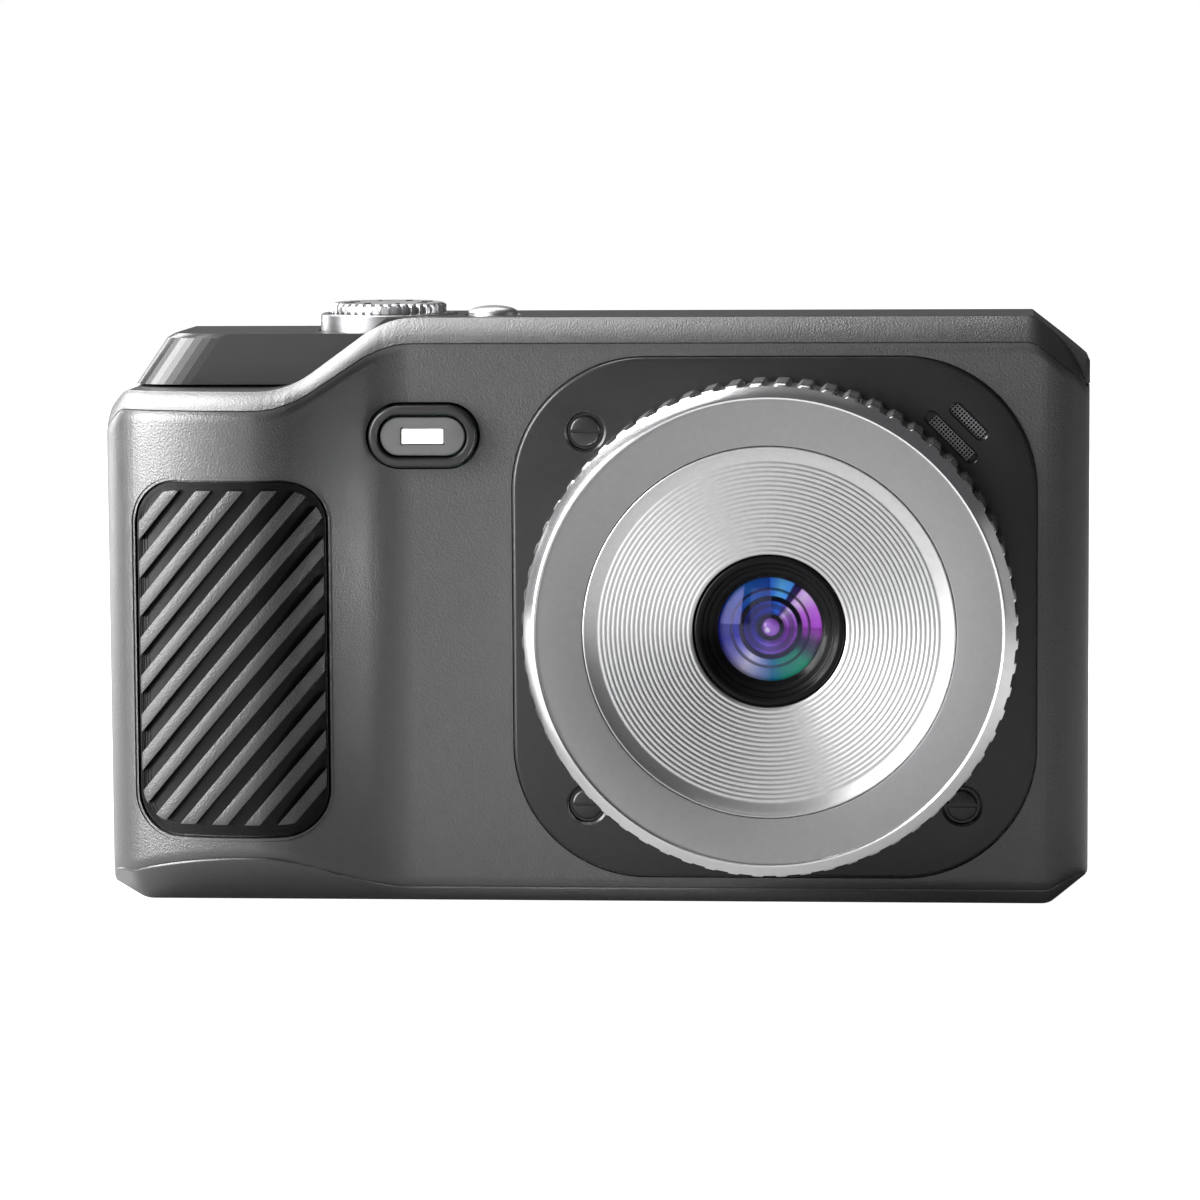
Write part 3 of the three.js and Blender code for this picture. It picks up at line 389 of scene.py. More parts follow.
def line_at(points, x):
    """Value of a broken line at x."""
    if x <= points[0][0]:
        return points[0][1]
    for (x0, y0), (x1, y1) in zip(points, points[1:]):
        if x1 > x0 and x <= x1:
            return y0 + (y1 - y0) * (x - x0) / (x1 - x0)
    return points[-1][1]


def stations(low, high, *lines, step=2.5):
    """Places along X: every break of the lines, and no stretch longer than step."""
    found = sorted({round(x, 4) for line in lines for x, _ in line if low <= x <= high} | {low, high})
    spaced = [found[0]]
    for x in found[1:]:
        if x - spaced[-1] < 0.02:
            continue
        count = max(1, math.ceil((x - spaced[-1]) / step))
        start = spaced[-1]
        spaced += [start + (x - start) * (i + 1) / count for i in range(count)]
    return spaced


def bend(points, radius, steps=6):
    """The middle one of three points, as an arc of about the given size between the two lines."""
    a, b, c = (Vector(p) for p in points)
    reach = min(radius, (a - b).length * 0.45, (c - b).length * 0.45)
    start = b + (a - b).normalized() * reach
    end = b + (c - b).normalized() * reach
    curve = []
    for i in range(steps + 1):
        t = i / steps
        p = start * (1 - t) ** 2 + b * 2 * t * (1 - t) + end * t ** 2
        curve.append((p.x, p.y))
    return curve


def blended(points, radii):
    """An open line with some of its corners rounded."""
    result = [points[0]]
    for i in range(1, len(points) - 1):
        radius = radii.get(i, 0)
        near = (points[i - 1], points[i], points[i + 1])
        result += bend(near, radius) if radius else [points[i]]
    return result + [points[-1]]


BASE_EDGE = blended([(-HALF_WIDTH, 2), (-51.6, 0), (50.6, 0), (HALF_WIDTH, 3.6)], {1: 0.8, 2: 0.8})
TOP_EDGE = blended(
    [
        (-HALF_WIDTH, 55.7),
        (-52.5, SHELF_Z),
        (RAMP[0], SHELF_Z),
        (RAMP[1], DECK_Z),
        (48.8, DECK_Z),
        (HALF_WIDTH, 61),
    ],
    {1: 0.7, 2: 3.2, 3: 3.2, 4: 0.9},
)


# ---- materials ----
def node_material(name, color, metallic=0.0, roughness=0.5, **sockets):
    material = bpy.data.materials.new(name)
    material.use_nodes = True
    shader = material.node_tree.nodes["Principled BSDF"]
    shader.inputs["Base Color"].default_value = (*color, 1)
    shader.inputs["Metallic"].default_value = metallic
    shader.inputs["Roughness"].default_value = roughness
    for socket, value in sockets.items():
        shader.inputs[socket.replace("_", " ")].default_value = value
    return material


def wire(material):
    """The material's nodes, links and main shader."""
    tree = material.node_tree
    return tree.nodes, tree.links, tree.nodes["Principled BSDF"]


def noise(material, scale, detail=3.0, rough=0.55):
    nodes, links, _ = wire(material)
    where = nodes.new("ShaderNodeTexCoord")
    texture = nodes.new("ShaderNodeTexNoise")
    texture.inputs["Scale"].default_value = scale
    texture.inputs["Detail"].default_value = detail
    texture.inputs["Roughness"].default_value = rough
    links.new(where.outputs["Object"], texture.inputs["Vector"])
    return texture.outputs["Fac"]


def ramp(material, source, stops):
    """Maps a value through (position, value or colour) stops."""
    nodes, links, _ = wire(material)
    made = nodes.new("ShaderNodeValToRGB")
    made.color_ramp.interpolation = "LINEAR"
    while len(made.color_ramp.elements) < len(stops):
        made.color_ramp.elements.new(0.5)
    for element, (position, value) in zip(made.color_ramp.elements, stops):
        element.position = position
        color = value if isinstance(value, (tuple, list)) else (value, value, value)
        element.color = (*color, 1)
    links.new(source, made.inputs["Fac"])
    return made.outputs["Color"]


def math_node(material, operation, *values):
    nodes, links, _ = wire(material)
    made = nodes.new("ShaderNodeMath")
    made.operation = operation
    for i, value in enumerate(values):
        if isinstance(value, (int, float)):
            made.inputs[i].default_value = value
        else:
            links.new(value, made.inputs[i])
    return made.outputs[0]


def add_bump(material, height, strength, distance):
    """Puts a height on the material, on top of any bump that it has."""
    nodes, links, shader = wire(material)
    bump = nodes.new("ShaderNodeBump")
    bump.inputs["Strength"].default_value = strength
    bump.inputs["Distance"].default_value = distance * MM
    links.new(height, bump.inputs["Height"])
    if shader.inputs["Normal"].links:
        links.new(shader.inputs["Normal"].links[0].from_socket, bump.inputs["Normal"])
    links.new(bump.outputs["Normal"], shader.inputs["Normal"])


def vary(material, scale, low, high, socket="Roughness"):
    """Lets a value or a colour wander between two limits over the surface."""
    _, links, shader = wire(material)
    links.new(ramp(material, noise(material, scale), [(0.3, low), (0.7, high)]), shader.inputs[socket])


def grained_plastic(name, color, roughness, grain=0.5, specular=0.8):
    """Bead-blasted moulding: a fine pebbled grain over a slow change of sheen."""
    material = node_material(name, color, 0.0, roughness, Specular_IOR_Level=specular)
    dark = tuple(c * 0.9 for c in color)
    light = tuple(c * 1.1 for c in color)
    vary(material, 900, dark, light, "Base Color")
    vary(material, 260, roughness * 0.94, roughness * 1.06)
    add_bump(material, noise(material, 4600, 2.0, 0.6), grain, 0.07)
    return material


def satin(name, color, metallic, roughness, **sockets):
    """A smooth painted or moulded surface with the faint unevenness of the real thing."""
    material = node_material(name, color, metallic, roughness, **sockets)
    vary(material, 1400, tuple(c * 0.97 for c in color), tuple(c * 1.03 for c in color), "Base Color")
    vary(material, 420, roughness * 0.96, roughness * 1.04)
    add_bump(material, noise(material, 3500, 3.0), 0.1, 0.008)
    return material


def machined(name, color, roughness, streaks, **sockets):
    """Metal with fine tool marks: streaks scales the noise along X, Y and Z."""
    material = node_material(name, color, 1.0, roughness, **sockets)
    nodes, links, shader = wire(material)
    where = nodes.new("ShaderNodeTexCoord")
    mapping = nodes.new("ShaderNodeMapping")
    mapping.inputs["Scale"].default_value = streaks
    texture = nodes.new("ShaderNodeTexNoise")
    texture.inputs["Scale"].default_value = 1000
    texture.inputs["Detail"].default_value = 4
    links.new(where.outputs["Object"], mapping.inputs["Vector"])
    links.new(mapping.outputs["Vector"], texture.inputs["Vector"])
    marks = ramp(material, texture.outputs["Fac"], [(0.3, roughness * 0.85), (0.7, roughness * 1.2)])
    links.new(marks, shader.inputs["Roughness"])
    shades = [(0.3, tuple(c * 0.94 for c in color)), (0.7, color)]
    links.new(ramp(material, texture.outputs["Fac"], shades), shader.inputs["Base Color"])
    add_bump(material, texture.outputs["Fac"], 0.1, 0.01)
    return material


GRAINED = grained_plastic("grained_plastic", (0.022, 0.0221, 0.0224), 0.34, 0.7, 0.95)
CAP = satin("cap_plastic", (0.013, 0.0131, 0.0133), 0.0, 0.34, Specular_IOR_Level=0.55)
PLATE = grained_plastic("plate_paint", (0.0060, 0.0060, 0.0061), 0.30, 0.2, 0.45)
DARK_METAL = satin("dark_metal", (0.028, 0.028, 0.029), 0.5, 0.32)
MESH = satin("mesh_metal", (0.30, 0.30, 0.31), 0.8, 0.35)
COLLAR = machined("collar_metal", (0.22, 0.22, 0.225), 0.34, (1, 1, 12))
RING_FACE = satin("ring_face", (0.27, 0.27, 0.274), 0.9, 0.36)
RING_EDGE = satin("ring_edge", (0.80, 0.80, 0.81), 1.0, 0.2)
CHROME = satin("chrome", (0.66, 0.66, 0.67), 1.0, 0.3)
STEEL = machined("steel", (0.62, 0.62, 0.63), 0.28, (1, 1, 12))
BLACK = satin("black_plastic", (0.003, 0.003, 0.0033), 0.0, 0.22, Specular_IOR_Level=0.12)
SOFT_BLACK = grained_plastic("soft_black", (0.014, 0.014, 0.015), 0.45, 0.3, 0.4)
RIB = grained_plastic("rib_rubber", (0.024, 0.024, 0.024), 0.4, 1.0, 0.7)
# The grooves' rubber: a smoother finish, and far darker than the ribs' as painted shade between them.
SHADED_GROOVE_RUBBER = grained_plastic("groove_rubber_painted_shade", (0.003, 0.003, 0.003), 0.3, 0.2, 0.15)
KEY = satin("key_plastic", (0.04, 0.04, 0.042), 0.0, 0.34)
MARK = satin("pale_mark", (0.55, 0.55, 0.55), 0.0, 0.5)
BOARD = satin("board", (0.02, 0.11, 0.05), 0.0, 0.4)
CELL = satin("cell_wrap", (0.05, 0.055, 0.065), 0.0, 0.5)
CARD = satin("card_plastic", (0.02, 0.03, 0.07), 0.0, 0.45)
GOLD = satin("gold", (0.83, 0.62, 0.27), 1.0, 0.25)


# ---- camera and lights ----
VIEW_AZIMUTH = 4.36
VIEW_ELEVATION = 6.01
VIEW_ROLL = math.radians(-0.36)
VIEW_DISTANCE = 550
VIEW_AIM = Vector((0.28, 0, 34.17))
FOCAL_LENGTH = 146.8
LIGHT_AIM = Vector((0, 0, 33))
WORLD_FILL = 0.09
FLOOR_REACH = 1500
FLOOR_Z = -0.02

# Softboxes: azimuth, elevation, distance, width and height, radiance.
SOFTBOXES = {
    "key": (-61, 14, 600, (260, 600), 25),
    "key_soft": (-33, 14, 700, (260, 600), 4.0),
    "far_left": (-128, 14, 600, (200, 500), 8),
    "back_left": (-124, 56, 700, (360, 520), 14),
    "top": (180, 78, 600, (500, 300), 0.12),
    "front": (-8, 6, 900, (260, 600), 0.9),
    "high_front": (-6, 52, 700, (600, 160), 1.2),
    "side_right": (92, 6, 700, (400, 400), 0.25),
    "back": (-165, 48, 800, (500, 300), 2),
}


def away_from_object(azimuth, elevation):
    """A unit vector, angles in degrees. Azimuth 0 is in front of the lens, 90 to the viewer's right."""
    a, e = math.radians(azimuth), math.radians(elevation)
    return Vector((math.sin(a) * math.cos(e), -math.cos(a) * math.cos(e), math.sin(e)))


def camera():
    """The viewing camera."""
    back = away_from_object(VIEW_AZIMUTH, VIEW_ELEVATION)
    data = bpy.data.cameras.new("camera")
    data.sensor_width = 36
    data.lens = FOCAL_LENGTH
    data.clip_start = 0.01
    view = bpy.data.objects.new("camera", data)
    view.location = (VIEW_AIM + back * VIEW_DISTANCE) * MM
    upright = back.to_track_quat("Z", "Y")
    view.rotation_euler = (upright @ Quaternion((0, 0, 1), VIEW_ROLL)).to_euler()
    bpy.context.scene.collection.objects.link(view)
    bpy.context.scene.camera = view
    bpy.context.scene.view_settings.view_transform = "Standard"


def softbox(name, azimuth, elevation, distance, size, radiance):
    """A rectangular light aimed at the camera body."""
    away = away_from_object(azimuth, elevation)
    data = bpy.data.lights.new(name, "AREA")
    data.shape = "RECTANGLE"
    data.size, data.size_y = size[0] * MM, size[1] * MM
    data.energy = radiance * math.pi * data.size * data.size_y
    light = bpy.data.objects.new(name, data)
    light.location = (LIGHT_AIM + away * distance) * MM
    light.rotation_euler = away.to_track_quat("Z", "Y").to_euler()
    bpy.context.scene.collection.objects.link(light)


def room():
    """Softboxes, a white world that lights the object dimly, and a pale floor."""
    for name, setting in SOFTBOXES.items():
        softbox(name, *setting)
    world = bpy.data.worlds.new("studio")
    bpy.context.scene.world = world
    world.use_nodes = True
    nodes, links = world.node_tree.nodes, world.node_tree.links
    seen = nodes["Background"]
    seen.inputs["Color"].default_value = (1, 1, 1, 1)
    seen.inputs["Strength"].default_value = 1.0
    lit = nodes.new("ShaderNodeBackground")
    lit.inputs["Color"].default_value = (0.97, 0.98, 1, 1)
    lit.inputs["Strength"].default_value = WORLD_FILL
    path = nodes.new("ShaderNodeLightPath")
    mix = nodes.new("ShaderNodeMixShader")
    links.new(path.outputs["Is Camera Ray"], mix.inputs["Fac"])
    links.new(lit.outputs[0], mix.inputs[1])
    links.new(seen.outputs[0], mix.inputs[2])
    links.new(mix.outputs[0], nodes["World Output"].inputs["Surface"])
    signs = ((-1, -1), (1, -1), (1, 1), (-1, 1))
    corners = [(x * FLOOR_REACH, y * FLOOR_REACH, FLOOR_Z) for x, y in signs]
    floor = build("floor", corners, [(0, 1, 2, 3)])
    paper = node_material("paper", (0.45, 0.45, 0.45), 0.0, 0.9)
    nodes, links, shader = wire(paper)
    shader.inputs["Emission Color"].default_value = (1, 1, 1, 1)
    path = nodes.new("ShaderNodeLightPath")
    links.new(path.outputs["Is Camera Ray"], shader.inputs["Emission Strength"])
    floor.data.materials.append(paper)


# ---- shells ----
SPREAD = [i / 6 for i in range(1, 6)]
FINE = [i / 7 for i in range(8)]


def bevel_height(x):
    share = min(max((x - RAMP[0]) / (RAMP[1] - RAMP[0]), 0), 1)
    return GRIP_BEVEL + (PANEL_BEVEL - GRIP_BEVEL) * share


def front_form():
    """The front half's outer form: a brow above a fine crease, and a chamfer under another."""
    front = front_path(0)

    def section(x):
        y = line_at(front, x)
        low = line_at(BASE_EDGE, x)
        high = line_at(TOP_EDGE, x)
        heel = max(FOOT_LINE_Y, y + 0.4)
        brow = min(y + BEVEL_DEPTH, SEAM_Y - 0.4)
        size = min(1, (brow - y) / BEVEL_DEPTH)
        crease = high - bevel_height(x)
        step = 0.42 * size
        rim = [(SEAM_Y - 0.12, low), (SEAM_Y, low + 0.12), (SEAM_Y, high - 0.12), (SEAM_Y - 0.12, high)]
        edge = bend([(brow + 0.3, high), (brow, high), (y + step, crease)], 0.22, 4)
        across, fall = y + step - brow, crease + 0.1 - high
        strip = [(brow + across * t, high + fall * t + 0.18 * size * math.sin(math.pi * t)) for t in SPREAD]
        ledge = y + step
        notch = [(ledge - 0.02, crease), (ledge + 0.07, crease - 0.07), (ledge - 0.04, crease - 0.14)]
        cove = [(y + (step - 0.06) * (1 - t) ** 2.2, crease - 0.15 - 1.25 * t) for t in FINE]
        sill = low + UNDERCUT * (heel - y)
        tuck = min(0.4, (heel - y) * 0.4)
        roll = [(y + (tuck - 0.03) * t ** 2.4, sill + 1.45 - 1.3 * t) for t in FINE]
        groove = [(y + tuck + 0.06, sill + 0.09), (y + tuck - 0.04, sill + 0.02 - 0.5 * UNDERCUT * tuck)]
        start = (y + tuck + 0.06, sill - UNDERCUT * (tuck + 0.06))
        back = bend([start, (heel, low), (SEAM_Y, low)], 0.5, 4)
        return rim + edge + strip + notch + cove + roll + groove + [start] + back

    places = stations(-HALF_WIDTH, HALF_WIDTH, front, BASE_EDGE, TOP_EDGE)
    rings = [[(x, y, z) for y, z in section(x)] for x in places]
    return loft("front_shell", rings)


def front_hollow():
    front = front_path(WALL, 6)

    def section(x):
        y = line_at(front, x)
        low = line_at(BASE_EDGE, x) + WALL
        heel = max(FOOT_LINE_Y + 0.6, y + 0.4)
        return [
            (SEAM_Y + 1, low),
            (SEAM_Y + 1, CEILING_Z),
            (y, CEILING_Z),
            (y, low + UNDERCUT * (heel - y)),
            (heel, low),
        ]

    places = stations(-HALF_WIDTH + WALL, HALF_WIDTH - WALL, front, BASE_EDGE)
    return loft("hollow", [[(x, y, z) for y, z in section(x)] for x in places])


def behind_front(inset):
    """Everything behind the front path, for pieces that follow the grip."""
    points = front_path(inset)
    points += [(HALF_WIDTH - inset, SEAM_Y), (inset - HALF_WIDTH, SEAM_Y)]
    return prism("behind", polygon(points), [(2, 0), (56, 0)], "Z")


# Spans along Y that pass through the grip's skin and through the lens plate and its seat.
THROUGH_GRIP = [(-20, 0), (-2, 0)]
THROUGH_PLATE = (-8, 0)
SCREW_BORE_R = 1.1


def plate_outline(grow):
    half = PLATE_HALF + grow
    corner = PLATE_CORNER_R + grow
    return rounded_rect(LENS_X - half, LENS_X + half, LENS_Z - half, LENS_Z + half, corner, 24)


def pad_outline(shrink=0):
    x = (PAD_X[0] + shrink, PAD_X[1] - shrink)
    z = (PAD_Z[0] + shrink, PAD_Z[1] - shrink)
    return rounded_rect(*x, *z, PAD_CORNER_R - shrink, 14)


SCREWS = [middle(f"lens_plate_screw_{i}") for i in (1, 2, 3)]
DOOR_LOW, DOOR_HIGH = cad("battery_door")
DOOR_AXIS = (11.8, 1.1)
KEEPER_X = (-38.4, -31.6)
KEEPER_Z = (0.6, 1.5)


def door_hole():
    """A cutter for the battery door's opening and for the slot that its latch slides into."""
    low = (DOOR_LOW[0] - GAP, DOOR_LOW[1] - GAP, -1)
    opening = block("hole", low, (DOOR_HIGH[0] + GAP, DOOR_AXIS[0] + 1.2, WALL + 2))
    keeper = block("keeper", (KEEPER_X[0], -1, KEEPER_Z[0]), (KEEPER_X[1], DOOR_LOW[1], KEEPER_Z[1]))
    return join(opening, keeper)


def front_cover():
    """The front shell, with its seats for the grip pad, the lens plate and the flash."""
    shell = front_form()
    shelf = ((-BEYOND_X, CAP_FRONT_Y - GAP, SHELF_Z), (BEYOND_X, SEAM_Y + 1, BEYOND_Z))
    neck = ((-NECK_X, CAP_FRONT_Y + WALL, CEILING_Z - 1), (NECK_X, SEAM_Y + 1, SHELF_Z + 1))
    cut(shell, block("cut", *shelf))
    cut(shell, front_hollow())
    cut(shell, block("cut", *neck))
    pocket = prism("pocket", pad_outline(), THROUGH_GRIP)
    cut(shell, cut(pocket, behind_front(1.5)))
    lead = prism("lead", pad_outline(-0.35), THROUGH_GRIP)
    cut(shell, cut(lead, behind_front(0.16)))
    floor = PLATE_Y + PLATE_THICK + GAP
    cut(shell, prism("recess", plate_outline(0.14), [(-8, 0), (floor, 0)]))
    cut(shell, disc("bore", MOUNT_R + 0.4, THROUGH_PLATE, (LENS_X, LENS_Z), segments=96))
    for x, _, z in SCREWS:
        cut(shell, disc("bore", SCREW_BORE_R, THROUGH_PLATE, (x, z), segments=20))
    hole = pill(FLASH_X, FLASH_Z, FLASH_LONG + 2 * GAP, FLASH_TALL + 2 * GAP)
    cut(shell, prism("hole", hole, [(-12, 0), (1, 0)]))
    cut(shell, door_hole())
    place(shell, "root", "grained_shell", GRAINED, "front_cover", angle=28)


# ---- grip pad ----
# The grooved floor is dished: each step is inset further and lies deeper behind the grip's skin.
PAD_DISH = ((0.12, 0.48), (0.3, 0.6), (0.5, 0.7), (0.75, 0.79), (1.1, 0.86))
RIB_REACH = 40
RIBS_EACH_SIDE = 8


def grip_pad():
    """A dished rubber floor in the grip, darkened as painted shade, crossed by slanting ribs."""
    floor = prism("grip_floor", pad_outline(GAP), THROUGH_GRIP)
    keep(floor, behind_front(0.4))
    cut(floor, behind_front(1.2))
    for inset, depth in PAD_DISH:
        well = prism("well", pad_outline(GAP + inset), THROUGH_GRIP)
        cut(floor, cut(well, behind_front(depth)))
    place(floor, "root", "grip_rubber", SHADED_GROOVE_RUBBER, "grip_pad", angle=50)
    centre = ((PAD_X[0] + PAD_X[1]) / 2 - 0.25, (PAD_Z[0] + PAD_Z[1]) / 2)
    along = (math.cos(RIB_ANGLE), math.sin(RIB_ANGLE))
    across = (-along[1], along[0])
    ribs = None
    for count in range(-RIBS_EACH_SIDE, RIBS_EACH_SIDE + 1):
        rise = count * RIB_PITCH

        def corner(run, side):
            return (
                centre[0] + along[0] * run + across[0] * (rise + side),
                centre[1] + along[1] * run + across[1] * (rise + side),
            )

        far, half = RIB_REACH, RIB_WIDTH / 2
        corners = [corner(-far, -half), corner(far, -half), corner(far, half), corner(-far, half)]
        bar = prism("bar", polygon(corners), THROUGH_GRIP)
        ribs = bar if ribs is None else join(ribs, bar)
    edge = GAP + 0.2
    trim = rounded_rect(PAD_X[0] + edge, PAD_X[1] - edge, PAD_Z[0] + 1.5, PAD_Z[1] - 1.2, 4.2, 14)
    keep(ribs, prism("trim", trim, THROUGH_GRIP))
    keep(ribs, behind_front(0.1))
    cut(ribs, behind_front(1.0))
    soften(ribs, 0.22, 50)
    ribs.name = "grip_ribs"
    place(ribs, "root", "grip_rubber", RIB, angle=40)


# ---- lens ----
# Two slots and the mesh behind them, as ends and middle from the lens axis.
SOUND_SLOTS = (((17.4, 22.4), (21.8, 18.0)), ((20.2, 23.3), (22.9, 20.6)))
SOUND_SLOT_WIDTH = 1.25
MESH_SPOT = (20.6, 21)
MESH_REACH = 4.3
POCKET_REACH = 5.4


def diamond(x, z, reach):
    return polygon([(x, z - reach), (x + reach, z), (x, z + reach), (x - reach, z)])


def lens_plate():
    """The square plate round the lens, with its screws and its two meshed slots."""
    back = PLATE_Y + PLATE_THICK
    plate = prism("plate", plate_outline(0), soft_layers(PLATE_Y, back, 0.42, 6))
    cut(plate, disc("bore", MOUNT_R + 0.4, THROUGH_PLATE, (LENS_X, LENS_Z), segments=96))
    for x, _, z in SCREWS:
        seat = PLATE_Y + 0.6
        profile = [(0, -8), (2.35, -8), (2.35, PLATE_Y), (2.1, PLATE_Y + 0.18), (2.0, seat), (0, seat)]
        cut(plate, lathe("sink", profile, (x, z), segments=48))
        cut(plate, disc("bore", SCREW_BORE_R, THROUGH_PLATE, (x, z), segments=20))
    for ends in SOUND_SLOTS:
        outline = slot_outline(*[(LENS_X + x, LENS_Z + z) for x, z in ends], SOUND_SLOT_WIDTH)
        layers = [(-8, -0.3), (PLATE_Y, -0.2), (PLATE_Y + 0.12, -0.04), (PLATE_Y + 0.25, 0), (0, 0)]
        cut(plate, prism("slot", outline, layers))
    x, z = LENS_X + MESH_SPOT[0], LENS_Z + MESH_SPOT[1]
    cut(plate, prism("pocket", diamond(x, z, POCKET_REACH), [(PLATE_Y + 0.5, 0), (0, 0)]))
    plate.name = "lens_plate_body"
    place(plate, "root", "plate_paint", PLATE, "lens_plate")
    mesh_screen(x, z)
    for i, (sx, _, sz) in enumerate(SCREWS):
        plate_screw(i + 1, sx, sz)


def mesh_screen(x, z):
    """A woven screen behind the slots: two layers of fine wires."""
    pitch, wire_r = 0.36, 0.075
    low = PLATE_Y + 0.72
    screen = prism("mesh_back", diamond(x, z, MESH_REACH), [(low + 0.3, 0), (low + 0.45, 0)])
    place(screen, "root", "black_plastic", BLACK, "microphone_mesh")
    points, faces = [], []
    lean = math.sqrt(0.5)
    half = MESH_REACH * lean
    count = int(half / pitch)
    for layer, (ax, az) in enumerate(((lean, lean), (lean, -lean))):
        for i in range(-count, count + 1):
            middle_x = x - az * i * pitch
            middle_z = z + ax * i * pitch
            y = low + 0.08 + 0.1 * layer
            base = len(points)
            for run in (-half, half):
                for side in range(6):
                    turn = math.pi / 3 * side
                    offset = wire_r * math.cos(turn)
                    points.append((
                        middle_x + ax * run - az * offset,
                        y + wire_r * math.sin(turn),
                        middle_z + az * run + ax * offset,
                    ))
            for side in range(6):
                k = (side + 1) % 6
                faces.append((base + side, base + k, base + 6 + k, base + 6 + side))
            faces.append(tuple(base + s for s in range(6)))
            faces.append(tuple(base + 6 + s for s in range(6)))
    wires = build("mesh_wires", points, faces)
    place(wires, "root", "black_plastic", MESH)


def plate_screw(number, x, z):
    """A slotted screw set in its sink."""
    front = PLATE_Y + 0.02
    head_r, back = 1.7, front + 0.5
    profile = [(0, front), (head_r - 0.25, front), (head_r - 0.1, front + 0.05)]
    profile += [(head_r, front + 0.17), (head_r, back), (0, back)]
    screw = lathe("screw", profile, (x, z), segments=48)
    join(screw, disc("shank", 0.8, (front + 0.3, -1.4), (x, z), segments=20))
    cut(screw, block("drive", (x - 2, front - 1, z - 0.17), (x + 2, front + 0.28, z + 0.17)))
    screw.name = f"plate_screw_{number}"
    place(screw, "root", "plate_paint", PLATE, f"lens_plate_screw_{number}")


RING_TEETH = 64
RING_KNURL = 0.6
RING_SLOPE_RISE = 1.15
MOUNT_FACE_Y = -17.8


def groove_depth(angle, teeth, crown):
    """0 on a tooth's top and 1 in the groove between two teeth, with crown the top's share of the pitch."""
    share = (angle * teeth / (2 * math.pi)) % 1
    return min(max((abs(share - 0.5) * 2 - crown) / 0.2, 0), 1)


def control_ring():
    """The knurled lens ring, its satin front face between two polished edges."""
    front = RING_FRONT_Y
    rise = RING_SLOPE_RISE
    profile = [
        (MOUNT_R + GAP, RING_BACK_Y),
        (RING_R - 0.6, RING_BACK_Y),
        (RING_R - 0.15, RING_BACK_Y - 0.15),
        (RING_R, RING_BACK_Y - 0.5),
        (RING_R, front + rise + 1.0),
        (RING_R - 0.04, front + rise + 0.66),
        (RING_R - 0.15, front + rise + 0.42),
        (RING_R - 0.3, front + rise + 0.24),
        (RING_R - 0.34, front + rise + 0.18),
        (RING_R - 0.3, front + rise + 0.12),
    ]
    shares = [0, 0, 1, 1, 1, 0.95, 0.75, 0.5, 0.2, 0]
    steps = 9
    for i in range(steps + 1):
        turn = i / steps
        radius = RING_R - 0.28 - (RING_R - 0.28 - FACE_R - 0.16) * turn
        profile.append((radius, front + rise * (1 - turn) ** 1.15))
        shares.append(0)
    profile += [
        (FACE_R + 0.06, front),
        (FACE_R - 0.02, front + 0.05),
        (FACE_R - 0.14, front + 0.22),
        (FACE_R - 0.28, front + 0.24),
        (MOUTH_R + 0.2, front + 0.24),
        (MOUTH_R + 0.06, front + 0.28),
        (MOUTH_R, front + 0.4),
        (MOUTH_R, MOUNT_FACE_Y),
        (MOUNT_R + GAP, MOUNT_FACE_Y),
    ]
    shares += [0] * 9

    def modulate(points, angle):
        depth = groove_depth(angle, RING_TEETH, 0.52) * RING_KNURL
        return [(radius - depth * share, height) for (radius, height), share in zip(points, shares)]

    ring = lathe("ring_body", profile, (LENS_X, LENS_Z), segments=RING_TEETH * 10, modulate=modulate)
    place(ring, "control_ring", "ring_aluminium", [RING_EDGE, RING_FACE], "control_ring", angle=35)
    inner, outer = (MOUTH_R + 0.1) * MM, (FACE_R - 0.2) * MM
    for face in ring.data.polygons:
        at = face.center
        reach = math.hypot(at.x - LENS_X * MM, at.z - LENS_Z * MM)
        if inner < reach < outer and at.y < (front + 0.5) * MM:
            face.material_index = 1


def spun_metal():
    """Bright lathe-turned aluminium: highlights run out from the axis."""
    lathe_marks = {"Anisotropic": 0.55, "Anisotropic_Rotation": 0.25}
    material = node_material("spun_metal", (0.54, 0.54, 0.545), 1.0, 0.32, **lathe_marks)
    nodes, links, shader = wire(material)
    tangent = nodes.new("ShaderNodeTangent")
    tangent.direction_type = "RADIAL"
    tangent.axis = "Y"
    links.new(tangent.outputs["Tangent"], shader.inputs["Tangent"])
    vary(material, 1500, (0.52, 0.52, 0.525), (0.56, 0.56, 0.565), "Base Color")
    return material


def lens_bezel():
    """The grooved dish: a bright cove round a shallow cone, with a ridge for each turn of the tool."""
    rim_r, inner_r = MOUTH_R - 0.07, BARREL_R + 0.15
    start_r, cone_y, cone_slope = 18.62, -18.36, 0.1
    turns = 20
    pitch = (start_r - inner_r - 0.1) / turns
    crest = RING_FRONT_Y + 0.3

    def cone(r):
        return cone_y + (start_r - r) * cone_slope

    lip_r = rim_r - 0.16
    profile = [(rim_r, MOUNT_FACE_Y), (rim_r, crest + 0.08), (rim_r - 0.06, crest), (lip_r, crest)]
    for i in range(1, 9):
        t = i / 8
        profile.append((lip_r - (lip_r - start_r) * t, crest + (cone(start_r) - crest) * t ** 0.8))
    shape = [(0.0, 0.0), (0.17, 0.024), (0.33, 0.05), (0.5, 0.062), (0.67, 0.05), (0.83, 0.024)]
    for turn in range(turns):
        for share, height in shape[0 if turn else 1:]:
            r = start_r - (turn + share) * pitch
            profile.append((r, cone(r) - height))
    end_r = start_r - turns * pitch
    back_y, step_r = -15.5, 18.2
    profile += [(end_r, cone(end_r)), (inner_r, cone(end_r) + 0.1), (inner_r, back_y)]
    profile += [(step_r, back_y), (step_r, MOUNT_FACE_Y)]
    dish = lathe("bezel_dish", profile, (LENS_X, LENS_Z), segments=256)
    place(dish, "root", "spun_aluminium", spun_metal(), "lens_bezel", angle=60)


